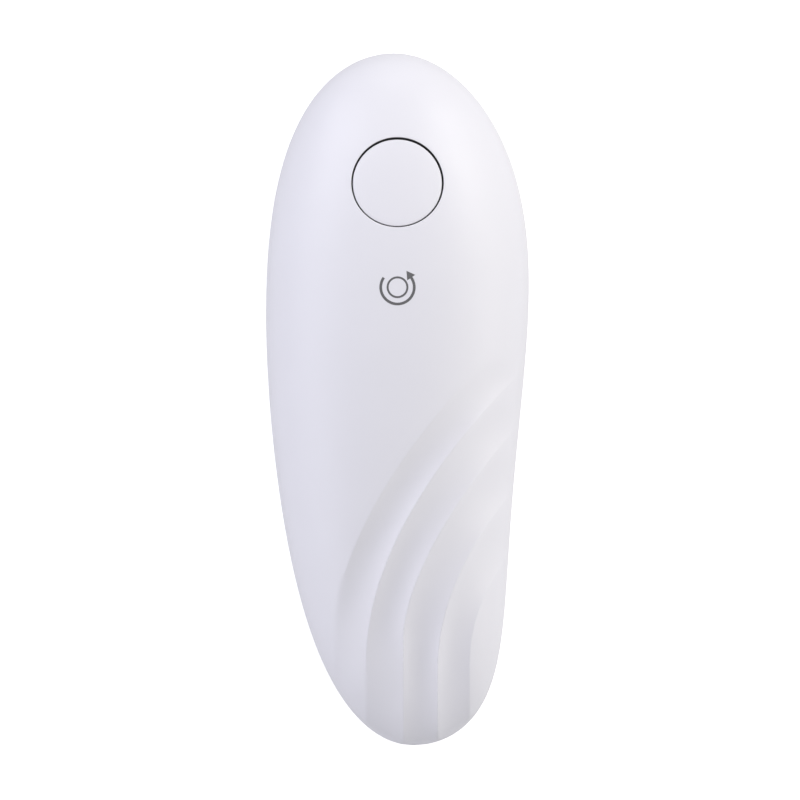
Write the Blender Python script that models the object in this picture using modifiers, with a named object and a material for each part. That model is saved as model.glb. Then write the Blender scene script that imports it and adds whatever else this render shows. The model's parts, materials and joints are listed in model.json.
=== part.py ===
"""Hands-free can opener, battery powered: it sits on a can's rim and walks round it.

Run it with blender --background --python part.py, or from Blender's text editor.
Frame: the nose points along +Y, +X is to the right as the button is looked at, +Z is up, and the
belly stands on Z = 0 with the origin under the middle of the outline.

A motor lies behind the head. Its pinion drives a crown gear, two reduction gears and the output
gear, whose shaft carries the toothed drive wheel under the head. A slip clutch on the same shaft
turns the cutter carrier, whose post is off centre, so that the cutter wheel closes on the rim.
"""

import math

import bmesh
import bpy
from mathutils import Matrix, Vector

MM = 0.001  # every size below is in millimetres

# Housing
HALF_LENGTH = 96.0
PARTING_Z = 24.0
SEAM_GAP = 0.3
LOWER_WALL = 2.2
UPPER_WALL = 2.6
SPINE_NOSE_X = -1.05
SPINE_TAIL_X = 4.35
LEFT_FULLNESS = (37.2, 4.3, 6.5, 0.0)
RIGHT_FULLNESS = (32.8, 12.0, 13.5, -12.3)
CROWN_HEIGHT = (29.0, 8.4)
UPPER_SQUARENESS = 2.3
LOWER_SQUARENESS = 3.2
BELLY_DEPTH = 25.5
HEAD_FLOOR_Z = 12.0
STEP_Y = (7.0, 17.0)
END_ROUNDNESS = 0.25

# Grip flutes: each crest runs x = x0 + rise * (y - y0) ** CREST_POWER, and straight below y0
CRESTS = (
    (-18.2, -68.0, 0.0126),
    (-9.5, -74.0, 0.0124),
    (0.9, -68.0, 0.0169),
    (10.4, -75.0, 0.0142),
    (19.1, -74.0, 0.0170),
)
CREST_POWER = 1.85
FLUTES = ((-64.0, 2.0), (-80.0, -4.0), (-90.0, -20.0), (-88.0, -36.0))
FLUTE_DEPTH = 0.9
FLUTE_END_LIFT = 1.3
FLUTE_POINTS = 11

# Button and switch, along an axis leaning towards the nose
BUTTON_Y = 60.1
BUTTON_LEAN = math.radians(12.3)
BUTTON_RADIUS = 12.3
BUTTON_HOLE_RADIUS = 12.7
BUTTON_DOME_RADIUS = 72.0
BUTTON_SUNK = 0.25
BUTTON_TRAVEL = 1.4

# Gear train
MODULE = 1.0
PRESSURE_ANGLE = math.radians(20)
CROWN_TEETH = 24
LARGE_TEETH = 24
SMALL_TEETH = 8
THIRD_PINION_TEETH = 10
OUTPUT_TEETH = 28
CARRIER_TEETH = 30
CLUTCH_TEETH = 11
BACKLASH = 0.34
CROWN_XY = (0.0, 23.0)
DRIVE_XY = (0.0, 52.0)
CARRIER_XY = (0.0, 31.5)
SECOND_ANGLE = math.radians(25)
PIN_RADIUS = 1.5
PIN_BORE = 1.7
SHAFT_RADIUS = 3.0
SHAFT_BORE = 3.2

PLATE_POSTS = ((-16.5, 38.5), (-17.0, 18.0), (24.0, 16.2), (15.5, 60.8))

CARRIER_GEAR_Z = (14.8, 17.4)
LOWER_PLATE_Z = (18.0, 19.4)
CROWN_DISC_Z = (19.9, 21.6)
CROWN_TIP_Z = 23.4
CROWN_PITCH_Z = 22.6
OUTPUT_GEAR_Z = (20.0, 23.4)
THIRD_GEAR_Z = (24.2, 26.8)
SECOND_GEAR_Z = (27.4, 30.2)
UPPER_PLATE_Z = (31.0, 32.4)

# Cutting head
DRIVE_WHEEL_RADIUS = 8.0
DRIVE_WHEEL_Z = (4.0, 8.0)
CUTTER_RADIUS = 8.5
CUTTER_Z = 5.6
CUTTER_OFFSET = 3.0
HEAD_PLATE_Z = (10.6, 11.7)
CARRIER_FLANGE_RADIUS = 12.6
MAGNET_PIN_Y = 65.5
MAGNET_PIN_Z = 13.8

# Motor and cells
MOTOR_RADIUS = 12.0
MOTOR_Y = (-21.5, 5.6)
MOTOR_PINION_Y = (8.6, 13.4)
CELL_RADIUS = 7.25
CELL_LENGTH = 50.0
CELL_REAR_Y = -78.0
CELL_Z = 14.5
CELL_X = (-2.4, 12.6)

DOOR_X = (-12.2, 22.2)
DOOR_FRONT_Y = -24.0
DOOR_TOP_Z = 9.0

HOUSING_SCREWS = ((-23.5, 68.0), (24.0, 68.0), (-23.5, 1.0), (23.5, 1.0))
HEAD_SCREWS = ((-22.0, 50.0), (22.0, 50.0), (-16.0, 76.0), (16.0, 76.0))

# Exact cuts leave these two with open edges along their flat floors
FLAT_FLOORED = ("lower_housing", "battery_door")
ROUND = 20
# Stands a prism up: its outline is drawn in y and z, and it is raised along x
UPRIGHT = Matrix(((0, 0, 1, 0), (1, 0, 0, 0), (0, 1, 0, 0), (0, 0, 0, 1)))
COLOURS = {
    "white_plastic": ((0.83, 0.83, 0.86), 0.42, 0.0),
    "grey_plastic": ((0.13, 0.13, 0.14), 0.5, 0.0),
    "gear_plastic": ((0.82, 0.80, 0.72), 0.4, 0.0),
    "steel": ((0.62, 0.62, 0.63), 0.28, 1.0),
    "brass": ((0.72, 0.55, 0.25), 0.35, 1.0),
    "magnet": ((0.33, 0.33, 0.35), 0.3, 1.0),
    "board_green": ((0.04, 0.22, 0.11), 0.5, 0.0),
    "cell_wrap": ((0.10, 0.22, 0.34), 0.35, 0.0),
    "lead_red": ((0.55, 0.03, 0.03), 0.45, 0.0),
    "lead_black": ((0.02, 0.02, 0.02), 0.45, 0.0),
}


# ---------------------------------------------------------------- scene and object helpers


def new_collection(name, hidden=False):
    made = bpy.data.collections.new(name)
    bpy.context.scene.collection.children.link(made)
    made.hide_render = hidden
    return made


def clear_scene():
    for obj in list(bpy.data.objects):
        bpy.data.objects.remove(obj)


def material(name):
    found = bpy.data.materials.get(name)
    if found:
        return found
    colour, roughness, metallic = COLOURS[name]
    made = bpy.data.materials.new(name)
    made.use_nodes = True
    shader = made.node_tree.nodes["Principled BSDF"]
    shader.inputs["Base Color"].default_value = (*colour, 1.0)
    shader.inputs["Roughness"].default_value = roughness
    shader.inputs["Metallic"].default_value = metallic
    return made


def add_object(name, data, finish=None):
    """A named object: a part where it has a finish, and a hidden helper where it has none."""
    obj = bpy.data.objects.new(name, data)
    if finish:
        PARTS.objects.link(obj)
        data.materials.append(material(finish))
    else:
        HELPERS.objects.link(obj)
        obj.hide_render = True
        obj.display_type = "WIRE"
    return obj


def mesh_object(name, bm, finish=None):
    bmesh.ops.recalc_face_normals(bm, faces=bm.faces)
    mesh = bpy.data.meshes.new(name)
    bm.to_mesh(mesh)
    bm.free()
    mesh.shade_smooth()
    mesh.set_sharp_from_angle(angle=math.radians(35))
    return add_object(name, mesh, finish)


def boolean(obj, other, operation):
    """Cuts obj with a helper, joins it to one or keeps what they share."""
    modifier = obj.modifiers.new(f"{operation} {other.name}", "BOOLEAN")
    modifier.operation = operation
    modifier.solver = "MANIFOLD" if obj.name in FLAT_FLOORED else "EXACT"
    modifier.object = other
    return obj


def cut(obj, *others):
    """Cuts obj with helpers that were placed in obj's own frame, and move with it."""
    for other in others:
        boolean(obj, other, "DIFFERENCE")
        other.parent = obj
    return obj


def join(obj, *others):
    """Joins helpers that were placed in obj's own frame, and move with it."""
    for other in others:
        boolean(obj, other, "UNION")
        other.parent = obj
    return obj


def keep_shared(obj, other):
    return boolean(obj, other, "INTERSECT")


def place(obj, at=(0, 0, 0), turn=None):
    """Puts a piece at a point in millimetres, turned by a rotation matrix."""
    obj.matrix_world = Matrix.Translation(Vector(at) * MM) @ (turn or Matrix.Identity(4))
    return obj


def as_mesh(curve_object, finish=None):
    """The welded mesh of a curve, which can then be cut or can cut."""
    bpy.context.view_layer.update()
    graph = bpy.context.evaluated_depsgraph_get()
    mesh = bpy.data.meshes.new_from_object(curve_object.evaluated_get(graph))
    bm = bmesh.new()
    bm.from_mesh(mesh)
    bmesh.ops.remove_doubles(bm, verts=bm.verts, dist=0.001 * MM)
    name = curve_object.name
    bpy.data.objects.remove(curve_object)
    return mesh_object(name, bm, finish)


# ---------------------------------------------------------------- basic shapes


def cylinder(name, radius, z_range, at=(0, 0), finish=None, segments=ROUND, top_radius=None):
    low, high = z_range
    bm = bmesh.new()
    bmesh.ops.create_cone(
        bm,
        cap_ends=True,
        segments=segments,
        radius1=radius * MM,
        radius2=(radius if top_radius is None else top_radius) * MM,
        depth=(high - low) * MM,
        matrix=Matrix.Translation(Vector((at[0], at[1], (low + high) / 2)) * MM),
    )
    return mesh_object(name, bm, finish)


def box(name, low, high, finish=None, round_edges=0.0):
    low, high = Vector(low), Vector(high)
    size = (high - low) * MM
    centre = Matrix.Translation((low + high) / 2 * MM)
    bm = bmesh.new()
    bmesh.ops.create_cube(bm, size=1, matrix=centre @ Matrix.Diagonal((*size, 1)))
    obj = mesh_object(name, bm, finish)
    if round_edges:
        bevel = obj.modifiers.new("rounded edges", "BEVEL")
        bevel.width = round_edges * MM
        bevel.segments = 2
    return obj


def turned(name, profile, finish=None, steps=ROUND, closed=False):
    """Turns (radius, z) points about Z. They start at the top and run down the outer side."""
    bm = bmesh.new()
    verts = [bm.verts.new((r * MM, 0, z * MM)) for r, z in profile]
    for start, end in zip(verts, verts[1:]):
        bm.edges.new((start, end))
    if closed:
        bm.edges.new((verts[-1], verts[0]))
    mesh = bpy.data.meshes.new(name)
    bm.to_mesh(mesh)
    bm.free()
    obj = add_object(name, mesh, finish)
    screw = obj.modifiers.new("turned", "SCREW")
    screw.steps = steps
    screw.render_steps = steps
    screw.use_merge_vertices = True
    screw.merge_threshold = 0.001 * MM
    screw.use_smooth_shade = True
    return obj


def prism(name, outline, z_range, finish=None, holes=()):
    """A flat outline raised between two heights, with round holes of (x, y, radius)."""
    low, high = z_range
    bm = bmesh.new()
    face = bm.faces.new([bm.verts.new((x * MM, y * MM, low * MM)) for x, y in outline])
    raised = bmesh.ops.extrude_face_region(bm, geom=[face])["geom"]
    moved = [item for item in raised if isinstance(item, bmesh.types.BMVert)]
    bmesh.ops.translate(bm, verts=moved, vec=(0, 0, (high - low) * MM))
    obj = mesh_object(name, bm, finish)
    for index, (x, y, radius) in enumerate(holes):
        cut(obj, cylinder(f"{name}_hole_{index}", radius, (low - 1, high + 1), (x, y)))
    return obj


def tube(name, points, radius, finish=None, bevel_resolution=1):
    """A round wire along points in millimetres."""
    data = bpy.data.curves.new(name, "CURVE")
    data.dimensions = "3D"
    data.bevel_depth = radius * MM
    data.bevel_resolution = bevel_resolution
    data.use_fill_caps = True
    spline = data.splines.new("POLY")
    spline.points.add(len(points) - 1)
    for point, where in zip(spline.points, points):
        point.co = (*(Vector(where) * MM), 1)
    return add_object(name, data, finish)


def smooth_route(points, per_span=4):
    """A Catmull-Rom curve through the points."""
    ends = [2 * Vector(points[0]) - Vector(points[1])]
    ends += [Vector(p) for p in points]
    ends.append(2 * Vector(points[-1]) - Vector(points[-2]))
    route = []
    for a, b, c, d in zip(ends, ends[1:], ends[2:], ends[3:]):
        for step in range(per_span):
            t = step / per_span
            route.append(
                0.5 * (2 * b + (c - a) * t + (2 * a - 5 * b + 4 * c - d) * t**2)
                + 0.5 * (3 * b - a - 3 * c + d) * t**3
            )
    route.append(ends[-2])
    return route


def coil(name, radii, heights, turns, wire, finish, turn=None, at=(0, 0, 0), per_turn=8):
    """A coil spring about Z: radius and height go evenly from the first value to the last."""
    count = round(turns * per_turn)
    points = []
    for index in range(count + 1):
        share = index / count
        angle = 2 * math.pi * turns * share
        radius = radii[0] + (radii[1] - radii[0]) * share
        height = heights[0] + (heights[1] - heights[0]) * share
        points.append((radius * math.cos(angle), radius * math.sin(angle), height))
    return place(tube(name, points, wire, finish), at, turn)


# ---------------------------------------------------------------- housing form


def smooth_step(value):
    value = max(0.0, min(1.0, value))
    return value * value * (3 - 2 * value)


def polynomial(coefficients, value):
    return sum(k * value**power for power, k in enumerate(coefficients))


def plan_section(y, half_length):
    """(centre x, half width, end rounding) of the egg-shaped outline at y."""
    along = max(-1.0, min(1.0, y / half_length))
    rounding = math.sqrt(1 - along * along)
    spine = SPINE_NOSE_X + (SPINE_TAIL_X - SPINE_NOSE_X) * (1 - along) / 2
    left = rounding * polynomial(LEFT_FULLNESS, along)
    right = rounding * polynomial(RIGHT_FULLNESS, along)
    return spine + (right - left) / 2, (left + right) / 2, rounding


def crown_height(y, half_length):
    along = max(-1.0, min(1.0, y / half_length))
    return math.sqrt(1 - along * along) * polynomial(CROWN_HEIGHT, along)


def upper_point(y, angle, inset, half_length):
    centre, half_width, _ = plan_section(y, half_length)
    cosine = math.cos(angle)
    across = math.copysign(abs(cosine) ** (2 / UPPER_SQUARENESS), cosine)
    shrink = 1 - inset / 36.0
    height = crown_height(y, half_length) * (1 - inset / CROWN_HEIGHT[0])
    x = centre + half_width * shrink * across
    return Vector((x, y, PARTING_Z + height * math.sin(angle)))


def lower_point(y, angle, inset, half_length, floor_lift=0.0):
    centre, half_width, rounding = plan_section(y, half_length)
    cosine = math.cos(angle)
    power = 2 / LOWER_SQUARENESS
    across = math.copysign(abs(cosine) ** power, cosine)
    shrink = 1 - inset / 36.0
    depth = (BELLY_DEPTH - inset) * rounding**END_ROUNDNESS
    z = PARTING_Z - depth * math.sin(angle) ** power
    return Vector((centre + half_width * shrink * across, y, max(z, inset + floor_lift)))


def half_egg(name, point_at, inset, rings, segments, rim_drop=0.0, finish=None, **options):
    """A closed half of the housing form: a grid bent to the form, and a flat face at the rim."""
    half_length = HALF_LENGTH - inset
    bm = bmesh.new()
    bmesh.ops.create_grid(bm, x_segments=rings, y_segments=segments, size=1)
    for vert in bm.verts:
        share = (vert.co.x + 1) / 2
        along = math.pi * (share + 0.2 * math.sin(2 * math.pi * share) / (2 * math.pi))
        angle = math.pi * (vert.co.y + 1) / 2
        y = half_length * math.cos(along)
        if share < 1e-6 or share > 1 - 1e-6:
            angle = 0.0
            y = math.copysign(half_length, math.cos(along))
        angle = min(max(angle, 0.0), math.pi)
        vert.co = point_at(y, angle, inset, half_length, **options) * MM
    bmesh.ops.remove_doubles(bm, verts=bm.verts, dist=0.001 * MM)
    rim = [edge for edge in bm.edges if edge.is_boundary]
    if rim_drop:
        made = bmesh.ops.extrude_edge_only(bm, edges=rim)["geom"]
        verts = [item for item in made if isinstance(item, bmesh.types.BMVert)]
        bmesh.ops.translate(bm, verts=verts, vec=(0, 0, rim_drop * MM))
        rim = [item for item in made if isinstance(item, bmesh.types.BMEdge)]
    bmesh.ops.edgeloop_fill(bm, edges=rim)
    return mesh_object(name, bm, finish)


def lower_solid(name, inset, rings, segments, rim_drop=0.0, finish=None, floor_lift=0.0):
    """The lower half with the head's recess taken out from below."""
    solid = half_egg(
        name, lower_point, inset, rings, segments, rim_drop, finish, floor_lift=floor_lift
    )
    start, end = STEP_Y
    outline = []
    for index in range(7):
        share = index / 6
        y = start + (end - start) * share - 0.9 * inset
        outline.append((y, -0.4 + (HEAD_FLOOR_Z + 0.4) * smooth_step(share) + inset))
    outline += [(110, HEAD_FLOOR_Z + inset), (110, -10), (start - 0.9 * inset, -10)]
    recess = prism(f"{name}_recess", outline, (-60, 60))
    return cut(solid, place(recess, turn=UPRIGHT))


def crest_x(crest, y):
    x0, y0, rise = crest
    return x0 + rise * max(0.0, y - y0) ** CREST_POWER


def surface_z(x, y):
    """Height of the upper housing's outer surface over a point."""
    centre, half_width, _ = plan_section(y, HALF_LENGTH)
    across = min(1.0, abs(x - centre) / half_width)
    return PARTING_Z + crown_height(y, HALF_LENGTH) * math.sqrt(1 - across**UPPER_SQUARENESS)


def flute_cutter(index):
    """A round bar between two crests, lifted out of the housing at both ends."""
    left, right = CRESTS[index], CRESTS[index + 1]
    tail_y, nose_y = FLUTES[index]
    points = []
    for step in range(FLUTE_POINTS):
        share = step / (FLUTE_POINTS - 1)
        y = tail_y + (nose_y - tail_y) * share
        x_left, x_right = crest_x(left, y), crest_x(right, y)
        slope = (crest_x(left, y + 1) + crest_x(right, y + 1) - x_left - x_right) / 2
        width = (x_right - x_left) / math.hypot(1, slope)
        radius = width**2 / (8 * FLUTE_DEPTH) + FLUTE_DEPTH / 2
        lift = FLUTE_END_LIFT * (2 * share - 1) ** 6
        x = (x_left + x_right) / 2
        z = surface_z(x, y)
        side_tilt = (surface_z(x + 1, y) - surface_z(x - 1, y)) / 2
        end_tilt = (surface_z(x, y + 1) - surface_z(x, y - 1)) / 2
        normal = Vector((-side_tilt, -end_tilt, 1)).normalized()
        centre = Vector((x, y, z)) + normal * (radius - FLUTE_DEPTH + lift)
        points.append((centre, radius))
    bar = tube(f"flute_{index}", [p for p, _ in points], 1.0, bevel_resolution=8)
    for point, (_, radius) in zip(bar.data.splines[0].points, points):
        point.radius = radius
    return as_mesh(bar)


# ---------------------------------------------------------------- housing parts


def screw_boss(name, at, z_range, radius=3.6):
    return cylinder(name, radius, z_range, at, segments=16)


def make_upper_housing():
    housing = half_egg("upper_housing", upper_point, 0.0, 28, 18, finish="white_plastic")
    cut(housing, half_egg("upper_cavity", upper_point, UPPER_WALL, 16, 12, rim_drop=-2.0))
    inner_form = half_egg("upper_boss_limit", upper_point, 1.2, 20, 14, rim_drop=-2.0)
    for index, at in enumerate(HOUSING_SCREWS):
        boss = screw_boss(f"upper_boss_{index}", at, (PARTING_Z, 60))
        join(housing, keep_shared(boss, inner_form))
    for index, side in enumerate((-1, 1)):
        post = cylinder(f"board_post_{index}", 2.4, (-14.6, 6.0), (side * 17.5, 0), segments=12)
        place(post, button_centre(), button_turn())
        join(housing, keep_shared(post, inner_form))
    for index in range(len(FLUTES)):
        cut(housing, flute_cutter(index))
    hole = cylinder("button_hole", BUTTON_HOLE_RADIUS, (-12, 6), segments=48)
    cut(housing, place(hole, button_centre(), button_turn()))
    for index, at in enumerate(HOUSING_SCREWS):
        cut(housing, cylinder(f"pilot_{index}", 1.5, (PARTING_Z - 1, 35.5), at, segments=12))
    half_gap = PARTING_Z + SEAM_GAP / 2
    return cut(housing, box("upper_trim", (-60, -110, 0), (60, 110, half_gap)))


def make_lower_form(name, finish=None, floor_lift=0.0):
    """The plain lower shell, before its holes, ribs and door opening."""
    form = lower_solid(name, 0.0, 26, 16, finish=finish, floor_lift=floor_lift)
    return cut(form, lower_solid(f"{name}_cavity", LOWER_WALL, 16, 12, rim_drop=2.0))


def make_lower_housing():
    housing = make_lower_form("lower_housing", "white_plastic")
    limit = lower_solid("lower_rib_limit", 1.0, 16, 12, rim_drop=2.0)
    top = PARTING_Z - 1.0
    ribs = [
        box("cell_front_wall", (-40, -26.2, 0), (40, -24.6, top)),
        box("cell_rear_wall", (-40, -83.4, 0), (40, -81.8, 20)),
        box("motor_cradle_front", (-9, -1.5, 0), (9, 0.3, 14.2)),
        box("motor_cradle_rear", (-9, -17.5, 0), (9, -15.7, 14.2)),
        box("cell_side_rib", (-11.6, -81, 0), (-10.4, -26, 18)),
    ]
    for rib in ribs:
        join(housing, keep_shared(rib, limit))
    pocket = box("magnet_pocket", (-12, 60.5, 11), (12, 89, 17.7))
    join(housing, keep_shared(pocket, limit))
    for index, at in enumerate(HOUSING_SCREWS):
        boss = screw_boss(f"lower_boss_{index}", at, (0, PARTING_Z - 0.5), 4.6)
        join(housing, keep_shared(boss, limit))
    for index, at in enumerate(HEAD_SCREWS):
        join(housing, screw_boss(f"head_boss_{index}", at, (12.5, 17.7), 3.0))
    pin_way = cylinder("pin_way", PIN_BORE, (-11.2, 11.2), segments=16)
    place(pin_way, (0, MAGNET_PIN_Y, MAGNET_PIN_Z), Matrix.Rotation(math.pi / 2, 4, "Y"))
    cut(
        housing,
        box("pocket_space", (-10, 62.5, 9), (10, 87, 16.5)),
        pin_way,
        cylinder("carrier_way", 8.5, (8, 16), CARRIER_XY),
        cylinder("bush_way", 5.2, (8, 16), DRIVE_XY),
    )
    for index, x in enumerate(CELL_X):
        cut(housing, box(f"lead_way_{index}", (x - 1.3, -30, 12), (x + 1.3, -24, 30)))
    for index, (at, floor) in enumerate(zip(HOUSING_SCREWS, (12.0, 12.0, 0.0, 0.0))):
        cut(
            housing,
            cylinder(f"screw_way_{index}", 1.8, (-2, 26), at, segments=12),
            cylinder(f"screw_sink_{index}", 3.2, (-2, floor + 4.5), at, segments=16),
        )
    for index, at in enumerate(HEAD_SCREWS):
        cut(housing, cylinder(f"head_pilot_{index}", 1.3, (8, 16.6), at, segments=12))
    door_space = box(
        "door_space",
        (DOOR_X[0] - SEAM_GAP, -110, -5),
        (DOOR_X[1] + SEAM_GAP, DOOR_FRONT_Y + SEAM_GAP, DOOR_TOP_Z + SEAM_GAP),
    )
    half_gap = PARTING_Z - SEAM_GAP / 2
    return cut(housing, door_space, box("lower_trim", (-60, -110, half_gap), (60, 110, 40)))


def make_battery_door():
    door = make_lower_form("battery_door", "white_plastic", floor_lift=0.25)
    region = box("door_region", (DOOR_X[0], -110, -5), (DOOR_X[1], DOOR_FRONT_Y, DOOR_TOP_Z))
    keep_shared(door, region)
    limit = half_egg("door_rib_limit", lower_point, 1.2, 16, 12)
    for index, x in enumerate((-9.4, 5.1, 18.6)):
        rib = box(f"cell_cradle_{index}", (x - 0.7, -74, 1), (x + 0.7, -30, 6.8))
        join(door, keep_shared(rib, limit))
    tongue = ((-29, 1.6), (-24.6, 1.6), (-24.6, 2.7), (-21, 2.7), (-21, 4.2), (-29, 4.2))
    catch = prism("door_catch", tongue, (0, 10))
    join(door, place(catch, turn=UPRIGHT))
    for index in range(4):
        y = DOOR_FRONT_Y - 5.0 - 2.6 * index
        ridge = cylinder(f"thumb_ridge_{index}", 0.9, (-8, 8), segments=12)
        place(ridge, (5, y, -0.25), Matrix.Rotation(math.pi / 2, 4, "Y"))
        cut(door, ridge)
    return door


def make_housing_screws():
    for index, (at, floor) in enumerate(zip(HOUSING_SCREWS, (12.0, 12.0, 0.0, 0.0)), 1):
        make_screw(f"housing_screw_{index}", at, floor + 2.2, floor + 4.2, 34.5, 1.4, 2.9)


def make_screw(name, at, head_low, head_high, tip, shank, head):
    """A pan-head screw driven from below, with a cross recess."""
    profile = (
        (0, tip),
        (shank, tip - 1.5),
        (shank, head_high),
        (head, head_high),
        (head, head_low + 0.7),
        (head - 0.8, head_low),
        (0, head_low),
    )
    screw = turned(name, profile, "steel", steps=12)
    for turn in range(2):
        slot = box(f"{name}_slot_{turn}", (-1.6, -0.35, head_low - 1), (1.6, 0.35, head_low + 0.9))
        cut(screw, place(slot, turn=Matrix.Rotation(turn * math.pi / 2, 4, "Z")))
    return place(screw, (*at, 0))


# ---------------------------------------------------------------- gears


def involute(angle):
    return math.tan(angle) - angle


def gear_outline(teeth, tip_height=0.85, root_depth=1.15, flank_steps=1, phase=0.0):
    """Toothed outline: flanks are cut short of the involute by the backlash."""
    pitch = MODULE * teeth / 2
    base = pitch * math.cos(PRESSURE_ANGLE)
    tip, root = pitch + tip_height, pitch - root_depth
    half_tooth = math.pi / (2 * teeth) - BACKLASH / (2 * pitch)

    def half_angle(radius):
        spread = math.acos(min(1.0, base / radius))
        return half_tooth + involute(PRESSURE_ANGLE) - involute(spread)

    radii = [root + (tip - root) * step / flank_steps for step in range(flank_steps + 1)]
    points = []
    for tooth in range(teeth):
        middle = phase + 2 * math.pi * tooth / teeth
        flank = [(radius, half_angle(radius)) for radius in radii]
        for radius, spread in flank:
            points.append((radius * math.cos(middle - spread), radius * math.sin(middle - spread)))
        for radius, spread in reversed(flank):
            points.append((radius * math.cos(middle + spread), radius * math.sin(middle + spread)))
    return points


def mesh_phase(teeth, other_teeth, other_phase, direction):
    """Turn that puts this gear in mesh with one at an angle of direction from it."""
    facing = direction + math.pi - other_phase
    other_share = (facing * other_teeth / (2 * math.pi)) % 1.0
    return direction + 2 * math.pi * (0.5 + other_share) / teeth


def compound_gear(name, at, large, small, bore, finish="gear_plastic"):
    """Two toothed rims on one hub: each is (teeth, z range, phase)."""
    large_teeth, large_z, large_phase = large
    small_teeth, small_z, small_phase = small
    body = prism(name, gear_outline(large_teeth, phase=large_phase), large_z, finish)
    overlap = 0.4
    low, high = small_z
    if low >= large_z[1]:
        low = large_z[1] - overlap
    else:
        high = large_z[0] + overlap
    pinion = gear_outline(small_teeth, phase=small_phase)
    join(body, prism(f"{name}_pinion", pinion, (low, high)))
    cut(body, cylinder(f"{name}_bore", bore, (low - 5, high + 8), segments=16))
    return place(body, (*at, 0))


def crown_teeth_ring(name):
    """A ring whose top rises and falls in trapezoid teeth that point along Z."""
    inner, outer = 10.3, 13.4
    pitch_angle = 2 * math.pi / CROWN_TEETH
    shares = (-0.10, 0.10, 0.275, 0.725)
    bm = bmesh.new()
    rows = []
    for tooth in range(CROWN_TEETH):
        for corner, share in enumerate(shares):
            angle = -math.pi / 2 + pitch_angle * (tooth + share)
            top = CROWN_TIP_Z if corner < 2 else CROWN_DISC_Z[1]
            direction = Vector((math.cos(angle), math.sin(angle), 0))
            corners = (
                (inner, CROWN_DISC_Z[0] + 0.4),
                (outer, CROWN_DISC_Z[0] + 0.4),
                (outer, top),
                (inner, top),
            )
            row = [bm.verts.new((direction * r + Vector((0, 0, z))) * MM) for r, z in corners]
            rows.append(row)
    for row, following in zip(rows, rows[1:] + rows[:1]):
        for side in range(4):
            after = (side + 1) % 4
            bm.faces.new((row[side], row[after], following[after], following[side]))
    return mesh_object(name, bm)


def make_gear_train():
    """Crown, second, third and output gears, in mesh as they stand."""
    second = Vector(CROWN_XY) + 16 * Vector((math.cos(SECOND_ANGLE), math.sin(SECOND_ANGLE)))
    third = third_gear_centre(second)
    drive = Vector(DRIVE_XY)

    def direction(start, end):
        return math.atan2(end[1] - start[1], end[0] - start[0])

    crown = cylinder("crown_gear", 13.6, CROWN_DISC_Z, finish="gear_plastic", segments=32)
    join(crown, crown_teeth_ring("crown_teeth"))
    pinion = gear_outline(SMALL_TEETH)
    join(crown, prism("crown_pinion", pinion, (CROWN_DISC_Z[0] + 0.6, 30.4)))
    cut(crown, cylinder("crown_bore", PIN_BORE, (15, 35), segments=16))
    place(crown, (*CROWN_XY, 0))

    second_phase = mesh_phase(LARGE_TEETH, SMALL_TEETH, 0.0, direction(second, CROWN_XY))
    large = (LARGE_TEETH, SECOND_GEAR_Z, second_phase)
    compound_gear("second_gear", second, large, (SMALL_TEETH, (23.8, 27.4), 0.0), PIN_BORE)

    third_phase = mesh_phase(LARGE_TEETH, SMALL_TEETH, 0.0, direction(third, second))
    large = (LARGE_TEETH, THIRD_GEAR_Z, third_phase)
    small = (THIRD_PINION_TEETH, (19.9, 24.2), 0.0)
    compound_gear("third_gear", third, large, small, PIN_BORE)

    output_phase = mesh_phase(OUTPUT_TEETH, THIRD_PINION_TEETH, 0.0, direction(drive, third))
    outline = gear_outline(OUTPUT_TEETH, phase=output_phase)
    output = prism("output_gear", outline, OUTPUT_GEAR_Z, "gear_plastic", [(0, 0, SHAFT_BORE)])
    place(output, (*DRIVE_XY, 0))

    for index, at in enumerate((CROWN_XY, second, third), 1):
        ends = (LOWER_PLATE_Z[0] + 0.1, UPPER_PLATE_Z[1] - 0.1)
        cylinder(f"gear_pin_{index}", PIN_RADIUS, ends, at, "steel", segments=16)
    make_gear_plates([CROWN_XY, tuple(second), tuple(third)])


def third_gear_centre(second):
    """Where the third gear meets both the second pinion and the output gear."""
    drive = Vector(DRIVE_XY)
    from_second = MODULE * (SMALL_TEETH + LARGE_TEETH) / 2
    from_drive = MODULE * (THIRD_PINION_TEETH + OUTPUT_TEETH) / 2
    line = drive - second
    reach = (from_second**2 - from_drive**2 + line.length**2) / (2 * line.length)
    aside = math.sqrt(from_second**2 - reach**2)
    along = line.normalized()
    return second + along * reach + Vector((along.y, -along.x)) * aside


def plate_outline(inset, low_y, high_y, steps=9):
    """The housing's outline moved inwards, between two lines across it."""
    right, left = [], []
    for step in range(steps + 1):
        y = low_y + (high_y - low_y) * step / steps
        centre, half_width, _ = plan_section(y, HALF_LENGTH)
        right.append((centre + half_width - inset, y))
        left.append((centre - half_width + inset, y))
    return right + left[::-1]


def make_gear_plates(pins):
    holes = [(x, y, PIN_RADIUS + 0.12) for x, y in pins] + [(*DRIVE_XY, SHAFT_BORE)]
    lower = plate_outline(6.0, 9.0, 63.0, 6)
    prism("lower_gear_plate", lower, LOWER_PLATE_Z, "grey_plastic", holes)
    upper = [(-19.5, 15.2), (26.5, 13.6), (31, 34), (30, 50), (18.5, 63.4), (12.5, 63.4)]
    upper += [(4, 58.5), (-8, 58.5), (-19, 41.5)]
    plate = prism("upper_gear_plate", upper, UPPER_PLATE_Z, "grey_plastic", holes)
    for index, at in enumerate(PLATE_POSTS):
        z_range = (LOWER_PLATE_Z[1] + SEAM_GAP, UPPER_PLATE_Z[0] + 0.4)
        join(plate, cylinder(f"plate_post_{index}", 2.0, z_range, at, segments=12))


# ---------------------------------------------------------------- cutting head


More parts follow.
